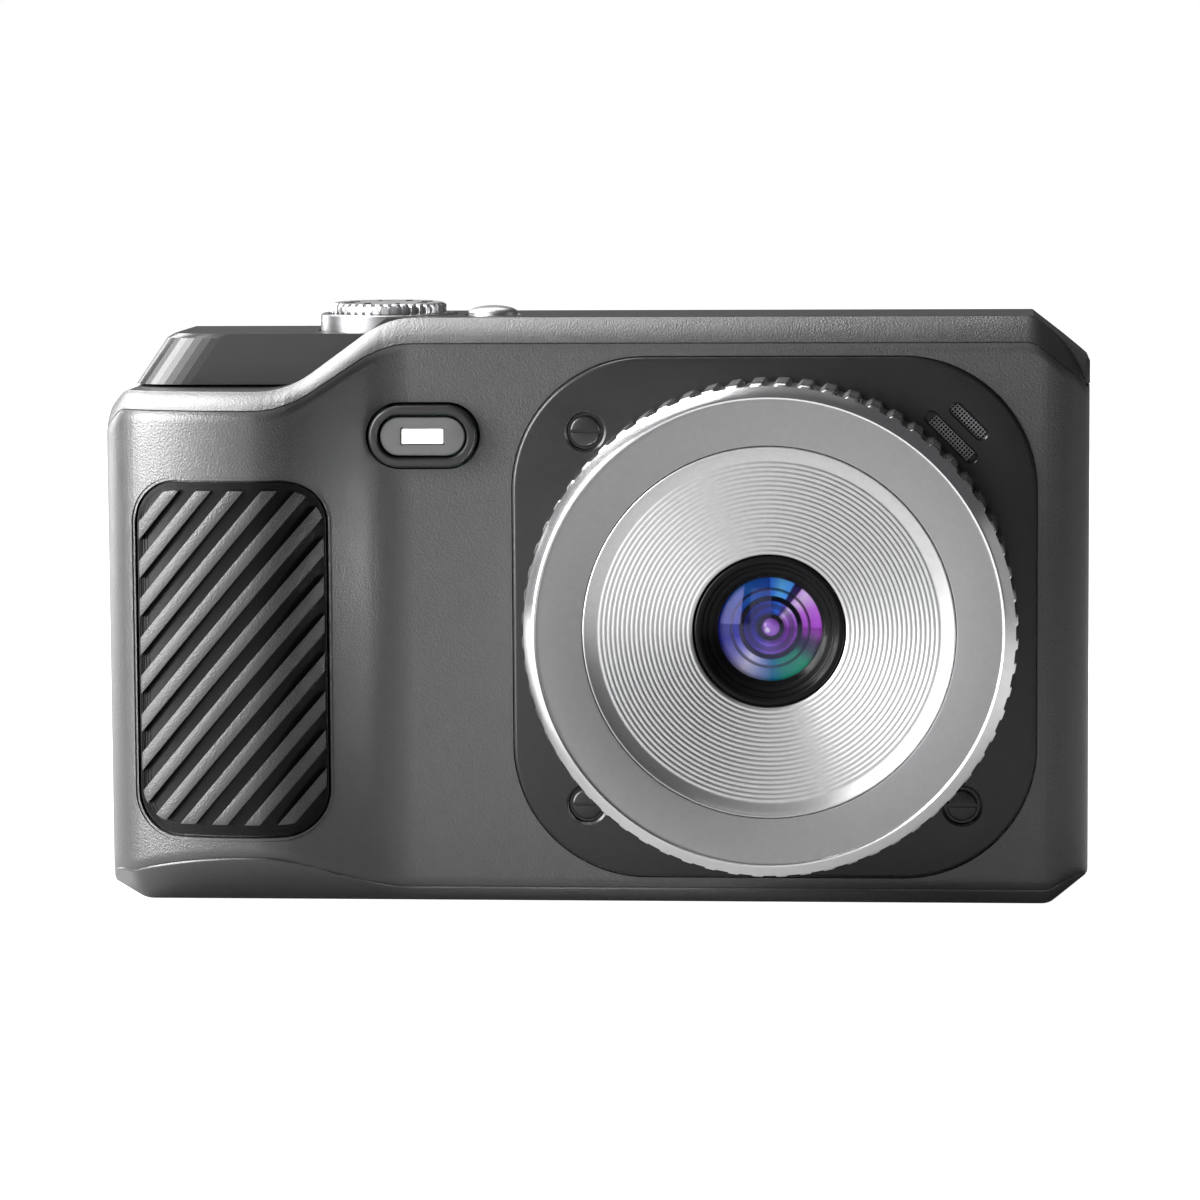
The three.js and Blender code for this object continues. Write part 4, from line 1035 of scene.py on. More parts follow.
def lens_barrel():
    """The black barrel: its mouth steps down towards the front glass."""
    front = BARREL_Y
    profile = [
        (BARREL_R, 2.6),
        (BARREL_R, front + 0.25),
        (BARREL_R - 0.1, front + 0.05),
        (BARREL_R - 0.3, front),
        (7.55, front + 0.02),
        (7.4, front + 0.12),
        (7.25, front + 0.55),
        (7.15, front + 0.6),
        (6.95, front + 0.62),
        (6.85, front + 0.7),
        (6.7, front + 1.15),
        (6.55, front + 1.2),
        (6.3, front + 1.22),
        (6.2, front + 1.3),
        (6.0, front + 1.75),
        (5.78, front + 1.85),
        (5.7, front + 1.95),
        (5.7, -14.7),
        (6.6, -14.7),
        (6.6, 2.6),
    ]
    barrel = lathe("barrel_body", profile, (LENS_X, LENS_Z), segments=160)
    place(barrel, "root", "black_plastic", BLACK, "lens_barrel", angle=50)


def dome(name, radius, front, back, front_sag, back_sag, segments=96, steps=14):
    """A lens element: a curved face at each side."""
    profile = [(radius * i / steps, front + front_sag * (i / steps) ** 2) for i in range(steps + 1)]
    profile += [(radius * i / steps, back - back_sag * (i / steps) ** 2) for i in range(steps, -1, -1)]
    return lathe(name, profile, (LENS_X, LENS_Z), segments=segments)


def coated_glass():
    """A clear front element with a blue and violet coating."""
    clear = {"IOR": 1.45, "Transmission_Weight": 1.0, "Specular_IOR_Level": 0.35}
    material = node_material("coated_glass", (0.95, 0.96, 1.0), 0.0, 0.02, **clear)
    shader = wire(material)[2]
    shader.inputs["Specular Tint"].default_value = (0.5, 0.5, 1.0, 1)
    vary(material, 200, 0.015, 0.03)
    return material


def around_axis(material, scale):
    """Turn round the lens axis, 0 to 1 from +X, and the radius as a share of scale."""
    nodes, links, _ = wire(material)
    where = nodes.new("ShaderNodeTexCoord")
    shift = nodes.new("ShaderNodeVectorMath")
    shift.operation = "SUBTRACT"
    shift.inputs[1].default_value = (LENS_X * MM, 0, LENS_Z * MM)
    links.new(where.outputs["Object"], shift.inputs[0])
    parts = nodes.new("ShaderNodeSeparateXYZ")
    links.new(shift.outputs[0], parts.inputs[0])
    x, z = parts.outputs["X"], parts.outputs["Z"]
    angle = math_node(material, "DIVIDE", math_node(material, "ARCTAN2", z, x), 2 * math.pi)
    turn = math_node(material, "FRACT", math_node(material, "ADD", angle, 1.0))
    squares = [math_node(material, "POWER", side, 2.0) for side in (x, z)]
    square = math_node(material, "ADD", *squares)
    radius = math_node(material, "DIVIDE", math_node(material, "SQRT", square), scale * MM)
    return turn, radius


def painted_coating_reflection(name, hues, rings, radius_scale):
    """An anti-reflection coating whose reflections are painted in: colour by the turn round the axis, with
    painted highlights, light and dark by radius.
    """
    material = node_material(name, (0.1, 0.1, 0.5), 0.0, 0.25, Specular_IOR_Level=0.15)
    nodes, links, shader = wire(material)
    turn, radius = around_axis(material, radius_scale)
    mix = nodes.new("ShaderNodeMix")
    mix.data_type = "RGBA"
    mix.blend_type = "MULTIPLY"
    mix.inputs["Factor"].default_value = 1.0
    links.new(ramp(material, turn, hues), mix.inputs["A"])
    links.new(ramp(material, radius, rings), mix.inputs["B"])
    links.new(mix.outputs["Result"], shader.inputs["Base Color"])
    return material


# Painted reflections of the coatings: colours by share of a turn from +X, the pale violet stops painted
# highlights, and their strength by share of the radius.
OUTER_REFLECTION_HUES = [
    (0.00, (0.40, 0.05, 0.62)),
    (0.07, (0.62, 0.18, 0.85)),
    (0.12, (0.85, 0.62, 1.0)),
    (0.138, (0.75, 0.45, 1.0)),
    (0.144, (0.02, 0.005, 0.08)),
    (0.168, (0.01, 0.005, 0.08)),
    (0.174, (0.08, 0.35, 1.0)),
    (0.21, (0.12, 0.5, 1.0)),
    (0.248, (0.02, 0.2, 0.95)),
    (0.252, (0.0, 0.05, 0.42)),
    (0.34, (0.0, 0.14, 0.62)),
    (0.44, (0.0, 0.03, 0.42)),
    (0.54, (0.03, 0.03, 0.62)),
    (0.60, (0.30, 0.28, 0.85)),
    (0.655, (0.80, 0.74, 0.98)),
    (0.71, (0.25, 0.32, 0.62)),
    (0.755, (0.0, 0.16, 0.32)),
    (0.80, (0.0, 0.25, 0.17)),
    (0.87, (0.0, 0.26, 0.13)),
    (0.915, (0.01, 0.03, 0.04)),
    (0.95, (0.03, 0.0, 0.05)),
    (0.985, (0.25, 0.02, 0.35)),
]
INNER_REFLECTION_HUES = [
    (0.0, (0.22, 0.02, 0.42)),
    (0.09, (0.50, 0.22, 0.80)),
    (0.125, (0.80, 0.62, 1.0)),
    (0.15, (0.06, 0.02, 0.30)),
    (0.19, (0.03, 0.16, 0.80)),
    (0.25, (0.01, 0.03, 0.36)),
    (0.45, (0.01, 0.01, 0.22)),
    (0.62, (0.05, 0.03, 0.40)),
    (0.72, (0.20, 0.10, 0.60)),
    (0.85, (0.12, 0.02, 0.30)),
    (0.95, (0.16, 0.01, 0.30)),
]
OUTER_REFLECTION_RINGS = [(0.52, 0.5), (0.58, 1.0), (0.66, 1.0), (0.695, 0.15)]
OUTER_REFLECTION_RINGS += [(0.72, 0.15), (0.735, 0.85), (0.88, 1.0), (1.0, 0.45)]
INNER_REFLECTION_RINGS = [(0.40, 0.25), (0.52, 0.5), (0.575, 1.0), (0.62, 1.0)]
INNER_REFLECTION_RINGS += [(0.66, 0.45), (0.78, 0.35), (0.86, 1.0), (0.98, 0.3)]
OUTER_ELEMENT_R = 6.0
INNER_ELEMENT_R = 3.2


def lens_glass():
    """The front glass, and behind it two coated rings with painted reflections, an iris and a violet pupil
    with a painted glint.
    """
    centre = (LENS_X, LENS_Z)
    front = dome("front_glass", 6.2, -15.95, -15.2, 1.2, -1.2)
    place(front, "root", "lens_glass", coated_glass(), "front_lens", angle=60)
    # The two coatings' colours are painted reflections and highlights, set by the turn round the axis.
    outer = painted_coating_reflection("outer_painted_reflection", OUTER_REFLECTION_HUES, OUTER_REFLECTION_RINGS, OUTER_ELEMENT_R)
    inner = painted_coating_reflection("inner_painted_reflection", INNER_REFLECTION_HUES, INNER_REFLECTION_RINGS, INNER_ELEMENT_R)
    profile = [(6.25, -14.3), (5.6, -14.0), (4.9, -13.75), (4.3, -13.62), (4.22, -13.7), (4.08, -13.7)]
    profile += [(4.0, -13.55), (3.45, -13.45), (3.4, -12.9), (6.25, -12.9)]
    place(lathe("outer_element", profile, centre, segments=128), "root", "lens_glass", outer, angle=40)
    profile = [(3.42, -13.5), (3.34, -13.72), (3.22, -13.74), (3.14, -13.6), (3.1, -13.62), (3.0, -13.66)]
    profile += [(2.9, -13.5), (2.88, -13.1), (3.42, -13.1)]
    place(lathe("element_ring", profile, centre, segments=96), "root", "black_plastic", BLACK, angle=40)
    profile = [(2.95, -13.4), (2.5, -13.3), (2.02, -13.25), (1.96, -13.36), (1.78, -13.36), (1.72, -13.2)]
    profile += [(1.4, -13.15), (1.4, -12.6), (2.95, -12.6)]
    place(lathe("inner_element", profile, centre, segments=128), "root", "lens_glass", inner, angle=40)
    profile = [(1.45, -13.2), (1.36, -13.3), (1.1, -13.3), (0.98, -13.15)]
    profile += [(0.95, -12.8), (0.95, -12.4), (1.45, -12.4)]
    iris = lathe("iris_ring", profile, centre, segments=96)
    place(iris, "root", "black_plastic", BLACK, angle=40)
    violet = satin("pupil_glass", (0.34, 0.10, 0.66), 0.0, 0.12, Coat_Weight=1.0)
    place(dome("pupil", 1.05, -13.1, -12.4, 0.25, 0.0, 64, 8), "root", "lens_glass", violet, angle=60)
    # A small pale dome low on the pupil's left: a painted glint.
    painted_glint = satin("pupil_painted_glint", (0.85, 0.70, 1.0), 0.0, 0.3)
    spot = dome("pupil_painted_glint_dome", 0.3, -13.12, -12.95, 0.05, 0.0, 32, 4)
    for vertex in spot.data.vertices:
        vertex.co.x -= 0.35 * MM
        vertex.co.z -= 0.3 * MM
    place(spot, "root", "lens_glass", painted_glint, angle=60)


# ---- flash ----
FLASH_RIM = 2.1
FLASH_CELL = (2.35, 0.85)
CELL_CLEARANCE = (0.15, 0.13)


def flash_pill(margin):
    return pill(FLASH_X, FLASH_Z, FLASH_LONG - margin, FLASH_TALL - margin)


def cell_outline(half_width, half_height, corner, steps):
    sides = (FLASH_X - half_width, FLASH_X + half_width, FLASH_Z - half_height, FLASH_Z + half_height)
    return rounded_rect(*sides, corner, steps)


def flash():
    """A bezel round a window with a pale cell in it, which carries a faint painted glow."""
    bezel = prism("bezel", flash_pill(0), soft_layers(FLASH_Y, -1.8, 0.42, 6))
    mouth = [(-12, -0.25), (FLASH_Y, -0.22), (FLASH_Y + 0.15, -0.05), (FLASH_Y + 0.35, 0), (1, 0)]
    cut(bezel, prism("bore", flash_pill(FLASH_RIM), mouth))
    bezel.name = "flash_frame"
    place(bezel, "root", "satin_shell", DARK_METAL, "flash_bezel")
    face = satin("flash_face", (0.075, 0.075, 0.077), 0.0, 0.35, Coat_Weight=0.3)
    layers = soft_layers(FLASH_Y + 0.55, PANEL_Y, 0.15, 3)
    window = prism("flash_panel", flash_pill(FLASH_RIM + 0.5), layers)
    half_width, half_height = (size + gap for size, gap in zip(FLASH_CELL, CELL_CLEARANCE))
    cut(window, prism("hole", cell_outline(half_width, half_height, 0.25, 4), [(-9, 0), (-3, 0)]))
    place(window, "root", "flash_clear", face, "flash_window")
    # The pale cell's faint emission is a painted glow, not a lamp.
    painted_glow = satin("flash_light", (0.95, 0.92, 0.86), 0.0, 0.4)
    shader = wire(painted_glow)[2]
    shader.inputs["Emission Color"].default_value = (1.0, 0.97, 0.92, 1)
    shader.inputs["Emission Strength"].default_value = 0.15
    layers = soft_layers(FLASH_Y + 0.68, -2.6, 0.12, 2)
    led = prism("flash_chip", cell_outline(*FLASH_CELL, 0.15, 3), layers)
    place(led, "root", "flash_light", painted_glow, "flash_led")


# ---- top controls ----
DIAL_TEETH = 40
DIAL_KNURL = 0.42
DIAL_BORE_R = 2.4
DIAL_MARKS = 8
SHUTTER_DOME = 0.8


def dial():
    """A toothed dial standing in a turned collar."""
    centre = (DIAL_X, DIAL_Y)
    top = COLLAR_Z
    profile = [
        (DIAL_BORE_R, 63.9),
        (COLLAR_R, 63.9),
        (COLLAR_R, top - 0.32),
        (COLLAR_R - 0.05, top - 0.15),
        (COLLAR_R - 0.18, top - 0.04),
        (COLLAR_R - 0.35, top),
        (DIAL_R + GAP + 0.1, top),
        (DIAL_R + GAP, top - 0.1),
        (DIAL_R + GAP, top - 0.35),
        (DIAL_BORE_R, top - 0.35),
    ]
    collar = lathe("collar_body", profile, centre, "Z", 128)
    place(collar, "root", "steel", COLLAR, "dial_collar")
    high = DIAL_Z

    def modulate(points, angle):
        depth = groove_depth(angle, DIAL_TEETH, 0.5) * DIAL_KNURL
        return [(r - depth if 1 <= j <= 4 else r, h) for j, (r, h) in enumerate(points)]

    low = top - 0.05
    rim = [
        (0, low),
        (DIAL_R - 0.1, low),
        (DIAL_R, low + 0.1),
        (DIAL_R, high - 0.42),
        (DIAL_R - 0.08, high - 0.3),
        (DIAL_R - 0.42, high - 0.12),
        (DIAL_R - 0.7, high - 0.06),
        (DIAL_R - 0.9, high - 0.1),
        (DIAL_R - 1.1, high - 0.12),
        (0, high - 0.08),
    ]
    knob = lathe("dial_knob", rim, centre, "Z", DIAL_TEETH * 10, modulate)
    join(knob, disc("stem", 2, (59.6, low + 0.2), centre, "Z", 32))
    place(knob, "mode_dial", "chrome", CHROME, "mode_dial")
    marks()


def marks():
    """Raised generic marks round the dial's top: short bars that point outwards."""
    layers = [(DIAL_Z - 0.2, 0), (DIAL_Z - 0.04, 0), (DIAL_Z - 0.02, 0.06)]
    for i in range(DIAL_MARKS):
        angle = math.radians(360 / DIAL_MARKS * i + 20)
        near, far = ((DIAL_X + r * math.cos(angle), DIAL_Y + r * math.sin(angle)) for r in (4, 5))
        bar = prism(f"dial_mark_{i + 1}", slot_outline(near, far, 0.35, 6), layers, "Z")
        place(bar, "mode_dial", "chrome", BLACK)


def shutter():
    """The shutter button: a domed cap on a stem."""
    stem_r, stem_z, skirt_z = 1.2, 60.1, 65.4
    edge = SHUTTER_Z - SHUTTER_DOME
    profile = [(0, stem_z), (stem_r, stem_z), (stem_r, skirt_z), (SHUTTER_R - 0.1, skirt_z)]
    profile += [(SHUTTER_R, skirt_z + 0.1), (SHUTTER_R, edge)]
    steps = 12
    for i in range(1, steps + 1):
        turn = math.pi / 2 * i / steps
        profile.append((SHUTTER_R * math.cos(turn), edge + SHUTTER_DOME * math.sin(turn)))
    profile[-1] = (0, SHUTTER_Z)
    button = lathe("shutter_cap", profile, (SHUTTER_X, SHUTTER_Y), "Z", 96)
    place(button, "shutter_button", "chrome", CHROME, "shutter_button", angle=40)
    spring()


def spring():
    """The button's return spring: a coil of round wire."""
    turns, coil_r, wire_r = 3.5, 2.15, 0.2
    low, high = 62.4, 65.1
    steps, sides = 160, 10
    rings = []
    for i in range(steps + 1):
        angle = 2 * math.pi * turns * i / steps
        height = low + (high - low) * i / steps
        ring = []
        for j in range(sides):
            turn = 2 * math.pi * j / sides
            reach = coil_r + wire_r * math.cos(turn)
            x, y = SHUTTER_X + reach * math.cos(angle), SHUTTER_Y + reach * math.sin(angle)
            ring.append((x, y, height + wire_r * math.sin(turn)))
        rings.append(ring)
    coil = loft("spring_coil", rings)
    place(coil, "root", "steel", STEEL, "shutter_spring", angle=50)
    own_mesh(coil)


# ---- back, top and base ----
SCREEN_LOW, SCREEN_HIGH = cad("display_window")
KEY_Y = cad("ok_key")[1][1]
KEY_TOP_Y = KEY_Y - 0.03
MARK_Y = KEY_Y - 0.01
FLANGE_Y = (15.6, 16.2)
FLANGE_REACH = 0.9
KEY_R = {"ok_key": 3.7, "menu_key": 2.6, "playback_key": 2.6}
KEYS_X, _, KEYS_Z = middle("ok_key")
RING_KEY_R = 9.0
RING_KEY_BORE_R = 4.9
ROUND_KEYS = {"menu_key": (-45.5, 38), "playback_key": (-23.5, 38)}
ROCKER_SPOT = (-34.5, 48.5)
SPEAKER_Z = 7.3
SOUND_PITCH = 1.2
SOUND_HOLE_R = 0.38
PORT_Y = (6.6, 13.2)
PORT_Z = (22, 34)
PORT_AXIS = (54.1, 14.2)
STRAP_SPOT = (53.4, 12.4)
STRAP_POST = ((49.4, 8.8, 45.4), (54, 16.8, 56.8))
STRAP_SLOT = ((51, 10.4, 47.4), (56, 14.4, 53.2))
TRIPOD_Y = 9.6
TRIPOD_BORE_R = 4.3
DOOR_PIN_BORE_R = 0.75
PORT_PIN_BORE_R = 0.7
COVER_SCREWS = ((44, 12), (-5, 12))


def screen_outline(grow):
    low, high = SCREEN_LOW, SCREEN_HIGH
    return rounded_rect(low[0] - grow, high[0] + grow, low[2] - grow, high[2] + grow, 2.5 + grow, 8)


def rear_section(back, top_edge, inset, top, crease):
    """The rear cover's closed section at any x, with its lower back edge chamfered."""
    def section(x):
        y = line_at(back, x) - inset
        low = line_at(BASE_EDGE, x) + inset
        high = min(line_at(top_edge, x), top)
        start = SEAM_Y + GAP - (1 if inset else 0)
        lip = 0 if inset else 0.12
        base = [(start + lip, low)] + bend([(start + lip, low), (y - 1.6, low), (y, low + 1.6)], crease, 4)
        wall = bend([(y - 1.6, low), (y, low + 1.6), (y, high)], crease, 4)
        brow = [(y, high - 0.12), (y - 0.12, high), (start + lip, high)]
        seam = [(start, high - lip), (start, low + lip)]
        return [(x, a, b) for a, b in base + wall + brow + seam]

    return section


def rear_cover():
    """The back shell, with its openings for the screen, keys, ports, door and screws."""
    edge = 4
    back = arc(edge - HALF_WIDTH, REAR_Y - edge, edge, 180, 90, 8)
    back += arc(HALF_WIDTH - edge, REAR_Y - edge, edge, 90, 0, 8)
    top_edge = [(-HALF_WIDTH, 55.7), (-52.5, SHELF_Z), (HALF_WIDTH, SHELF_Z)]
    outer = rear_section(back, top_edge, 0, SHELF_Z, 0.7)
    places = stations(-HALF_WIDTH, HALF_WIDTH, back, BASE_EDGE, top_edge, step=8)
    shell = loft("rear_shell", [outer(x) for x in places])
    inner = rear_section(back, top_edge, WALL - 0.2, CEILING_Z, 0.3)
    reach = HALF_WIDTH - WALL
    cut(shell, loft("hollow", [inner(x) for x in (-reach, -50, -30, 0, 30, 50, reach)]))
    post = block("post", *STRAP_POST)
    trim = loft("trim", [outer(x) for x in places])
    join(shell, keep(post, trim))
    cut(shell, block("neck", (-NECK_X, SEAM_Y - 1, CEILING_Z - 1), (NECK_X, 15.5, SHELF_Z + 1)))
    cut(shell, rounded_block("strap", *STRAP_SLOT, 0.6, 0.01, "X"))
    cut(shell, disc("bore", 1.1, (46.4, 54.2), STRAP_SPOT, "Z", 24))
    layers = [(REAR_Y - 1.5, 0), (REAR_Y - 0.2, 0), (REAR_Y, -0.2), (REAR_Y + 1, -1.2)]
    cut(shell, prism("recess", screen_outline(GAP), layers))
    cut(shell, block("window", (-10.6, 12, 8), (46.6, REAR_Y + 1, 51)))
    for name, (x, z) in ROUND_KEYS.items():
        cut(shell, key_bore(KEY_R[name] + GAP, x, z))
    cut(shell, key_bore(RING_KEY_R + GAP, KEYS_X, KEYS_Z))
    layers = [(15, 0), (REAR_Y - 0.25, 0), (REAR_Y, -0.25), (20, -1.25)]
    cut(shell, prism("rocker", pill(*ROCKER_SPOT, 13.6, 5.6), layers))
    for column in range(-2, 3):
        for row in range(-1, 2):
            spot = (KEYS_X + SOUND_PITCH * column, SPEAKER_Z + SOUND_PITCH * row)
            if abs(column) + abs(row) < 3:
                cut(shell, disc("sound_hole", SOUND_HOLE_R, (15, 20), spot, segments=16))
    cut(shell, port_hole(), door_hole())
    pins = disc("pins", DOOR_PIN_BORE_R, (DOOR_LOW[0] - 1.4, DOOR_HIGH[0] + 1.9), DOOR_AXIS, "X", 20)
    cut(shell, pins)
    cut(shell, disc("tripod", TRIPOD_BORE_R, (-1, 4), (LENS_X, TRIPOD_Y), "Z", 64))
    for spot in COVER_SCREWS:
        profile = [(0, -1), (3, -1), (1.95, 0), (1.8, 0.15), (1.8, 1.1), (1, 1.1), (1, 4), (0, 4)]
        cut(shell, lathe("sink", profile, spot, "Z", 40))
    place(shell, "root", "grained_shell", GRAINED, "rear_cover", angle=28)
    flatten(shell, 150)


def key_bore(radius, x, z):
    """A cutter for a round key's hole, with a small countersink at the rear face."""
    face, behind = REAR_Y, REAR_Y + 1
    profile = [(0, 15), (radius, 15), (radius, face - 0.22), (radius + 0.22, face)]
    profile += [(radius + 1.2, behind), (0, behind)]
    return lathe("bore", profile, (x, z), segments=72)


def port_hole():
    """A cutter for the port cover's opening, the socket's mouth behind it and the hinge bores."""
    low, high = PORT_Z[0] - GAP, PORT_Z[1] + GAP
    opening = block("hole", (53, PORT_Y[0] - GAP, low), (56, PORT_AXIS[1] + 1.2, high))
    mouth = block("mouth", (50, 7.6, 24.6), (56, 12.2, 31.4))
    bores = disc("bores", PORT_PIN_BORE_R, (low - 1, high + 1), PORT_AXIS, "Z", 20)
    return join(opening, mouth, bores)


THROUGH_CAP = (58, BEYOND_Z)
CAP_END_R = 6.5
CAP_BACK_R = 3


def cap_form(inset):
    """The top cover's form, moved inwards by inset, with its left end rounded in plan."""
    d = inset
    foot = SHELF_Z + GAP - (1 if d else 0)
    deck = DECK_Z

    def outline(round_off):
        return [
            (-52.4 + 1.2 * d + round_off, foot),
            (HALF_WIDTH - d, foot),
            (HALF_WIDTH - d, 61 - 0.4 * d),
            (48.8 - 0.3 * d, deck - d),
            (RAMP[1] - 0.3 * d, deck - d),
            (-25.8 - 0.3 * d, LEFT_DECK_Z - d),
            (-47.9 + round_off, LEFT_DECK_Z - d),
            (-48.8 + 0.5 * d + round_off, LEFT_DECK_Z - 0.5 - d),
        ]

    front, back = CAP_FRONT_Y + d, REAR_Y - d
    turns = [math.pi / 2 * i / 10 for i in range(11)]
    layers = [(front + 3.4 * (1 - math.cos(t)), CAP_END_R * (1 - math.sin(t))) for t in turns]
    form = prism("cap", outline, layers + [(back, 0)])
    left, right, chamfer = d - HALF_WIDTH, HALF_WIDTH - d, 0.4
    sides = [(left, front - 1), (right - chamfer, front - 1)]
    sides += [(right - chamfer, front), (right, front + chamfer)]
    r = CAP_BACK_R
    sides += arc(right - r, back - r, r, 0, 90, 8) + arc(left + r, back - r, r, 90, 180, 8)
    return keep(form, prism("sides", polygon(sides), [(50, 0), (BEYOND_Z, 0)], "Z"))


def top_cover():
    """A hollow cap on the two covers, with the dial's and the button's seats."""
    cap = cap_form(0)
    edge = 2.6
    across = [(-BEYOND_X, 0), (BEYOND_X, 0)]
    wedge = [(REAR_Y - edge, DECK_Z), (REAR_Y + 1, DECK_Z - edge - 1)]
    wedge += [(REAR_Y + 1, DECK_Z + 1), (REAR_Y - edge, DECK_Z + 1)]
    cut(cap, prism("wedge", polygon(wedge), across, "X"))
    soften(cap, 0.22, 20)
    inner = cap_form(WALL)
    inner_wedge = [(y - 1.8, z - 0.6) for y, z in wedge]
    cut(inner, prism("wedge", polygon(inner_wedge), across, "X"))
    cut(cap, inner)
    dial = (DIAL_X, DIAL_Y)
    join(cap, disc("boss", 4.4, (60.4, 64.6), (SHUTTER_X, SHUTTER_Y), "Z", 48))
    join(cap, disc("boss", COLLAR_R + 1.6, (61.4, 63.6), dial, "Z", 64))
    cut(cap, disc("recess", COLLAR_R + GAP, (63.6, BEYOND_Z), dial, "Z", 128))
    cut(cap, disc("bore", DIAL_BORE_R, THROUGH_CAP, dial, "Z", 32))
    bore_r = SHUTTER_R + GAP
    profile = [(0, 62), (bore_r, 62), (bore_r, DECK_Z - 0.2), (bore_r + 0.2, DECK_Z)]
    profile += [(SHUTTER_R + 2, DECK_Z + 1.5), (0, DECK_Z + 1.5)]
    cut(cap, lathe("recess", profile, (SHUTTER_X, SHUTTER_Y), "Z", 72))
    cut(cap, disc("bore", 1.5, THROUGH_CAP, (SHUTTER_X, SHUTTER_Y), "Z", 32))
    cap.name = "top_shell"
    place(cap, "root", "satin_shell", CAP, "top_cover", angle=24)
    flatten(cap, 4)


DOOR_KNUCKLES = ((-50.6, -44), (-26, -19.4))
DOOR_GROOVES = 5
LATCH_RIDGES = 4


def battery_door():
    """The door in the base, with its hinge knuckles and its sliding latch."""
    low, high = DOOR_LOW, (DOOR_HIGH[0], 10.9, 1.6)
    door = rounded_block("door_panel", low, high, 0.5, 0.14)
    pin_y, pin_z = DOOR_AXIS
    for left, right in DOOR_KNUCKLES:
        arm = block("arm", (left, high[1] - 1, pin_z - 0.5), (right, pin_y, pin_z + 0.5))
        join(door, arm, disc("knuckle", 0.85, (left, right), DOOR_AXIS, "X", 40))
    cut(door, disc("bore", 0.6, (-60, -10), DOOR_AXIS, "X", 32))
    cut(door, rounded_block("pocket", (-39.3, -1, -1), (-30.7, 5.6, 1.1), 0.4, 0.01))
    cut(door, block("tongue", (-38.1, -1, 0.4), (-31.9, 1.8, 1.3)))
    for i in range(DOOR_GROOVES):
        x = -48.4 + 1.1 * i
        groove = slot_outline((x, 3), (x, 7.4), 0.45, 6)
        cut(door, prism("groove", groove, [(-1, 0), (low[2] + 0.14, 0)], "Z"))
    place(door, "battery_door", "grained_shell", GRAINED, "battery_door")
    slider = rounded_block("latch_slider", (-39, 2.4, 0.3), (-31, 5.3, 0.8), 0.4, 0.08)
    for i in range(LATCH_RIDGES):
        x = -36.6 + i * 1.06
        join(slider, rounded_block("ridge", (x, 3.2, 0.1), (x + 0.5, 4.4, 0.5), 0.15, 0.06))
    join(slider, block("tongue", (-37.8, 0.4, 0.65), (-32.2, 3, 1)))
    place(slider, "door_latch", "satin_shell", BLACK, "door_latch")


def port_cover():
    """The flap at the side, its plug, and the socket behind it."""
    flap = prism("port_flap", rounded_rect(*PORT_Y, *PORT_Z, 1.0, 6), soft_layers(54.8, 53.5, 0.2), "X")
    arm = block("arm", (53.7, PORT_Y[1] - 0.5, 24), (54.5, PORT_AXIS[1], 32))
    plug = rounded_block("plug", (52.8, 8.9, 25.8), (53.7, 10.9, 30.2), 0.9, 0.1, "X")
    knuckle = disc("knuckle", 0.7, (24, 32), PORT_AXIS, "Z", 32)
    pins = disc("pins", 0.4, (PORT_Z[0] - 1, PORT_Z[1] + 1), PORT_AXIS, "Z", 24)
    join(flap, arm, plug, knuckle, pins)
    cut(flap, rounded_block("thumb", (54.2, 6, 26.5), (56, 7.2, 29.5), 0.4, 0.01, "X"))
    place(flap, "port_cover", "grained_shell", SOFT_BLACK, "port_cover")
    shell = rounded_rect(8.2, 11.6, 24.9, 31.1, 1.6, 10)
    socket = prism("usb_shell", shell, soft_layers(52.4, 45, 0.12, 3), "X")
    mouth = rounded_rect(8.6, 11.2, 25.3, 30.7, 1.25, 10)
    cut(socket, prism("bore", mouth, [(46, 0), (53, 0)], "X"))
    join(socket, block("tongue", (45.5, 9.55, 26.4), (51.6, 10.25, 29.6)))
    place(socket, "root", "steel", STEEL, "usb_socket")


def base_metal():
    """The tripod thread, the two cover screws and the strap bar."""
    bore, pitch, depth = 3.12, 1.27, 0.5
    steps = 36
    profile = [(0, 6), (0, 6.9), (4.4, 6.9), (4.4, 4), (5.9, 4), (5.9, 2.5), (4, 2.5), (4, 0.1), (3.9, 0)]
    solid = len(profile)
    profile += [(bore + 0.25, 0), (bore, 0.25)]
    profile += [(bore, 0.3 + 5.6 * i / steps) for i in range(steps + 1)] + [(bore, 6)]

    def thread(points, angle):
        turned = []
        for j, (r, h) in enumerate(points):
            share = (h / pitch + angle / (2 * math.pi)) % 1
            crest = max(0, 1 - abs(share - 0.5) * 3) if j > solid + 1 and 0.4 < h < 5.8 else 0
            turned.append((r - depth * crest, h))
        return turned

    socket = lathe("tripod_thread", profile, (LENS_X, TRIPOD_Y), "Z", 96, thread)
    place(socket, "root", "steel", STEEL, "tripod_socket", angle=40)
    for i, (x, y) in enumerate(COVER_SCREWS):
        profile = [(0, 0.2), (1.2, 0.2), (1.42, 0.28), (1.5, 0.42), (1.5, 1), (0.7, 1), (0.7, 5), (0, 5)]
        screw = lathe(f"base_screw_{i + 1}", profile, (x, y), "Z", 48)
        cross = join(
            block("cross", (x - 0.95, y - 0.18, -1), (x + 0.95, y + 0.18, 0.6)),
            block("cross", (x - 0.18, y - 0.95, -1), (x + 0.18, y + 0.95, 0.6)),
        )
        cut(screw, cross)
        place(screw, "root", "steel", STEEL, f"cover_screw_{i + 1}")
    bar_r = (cad("strap_bar")[1][0] - cad("strap_bar")[0][0]) / 2
    low, high, edge = 46.7, 53.9, 0.15
    profile = [(0, low), (bar_r - edge, low), (bar_r, low + edge)]
    profile += [(bar_r, high - edge), (bar_r - edge, high), (0, high)]
    place(lathe("strap_pin", profile, STRAP_SPOT, "Z", 40), "root", "steel", STEEL, "strap_bar")


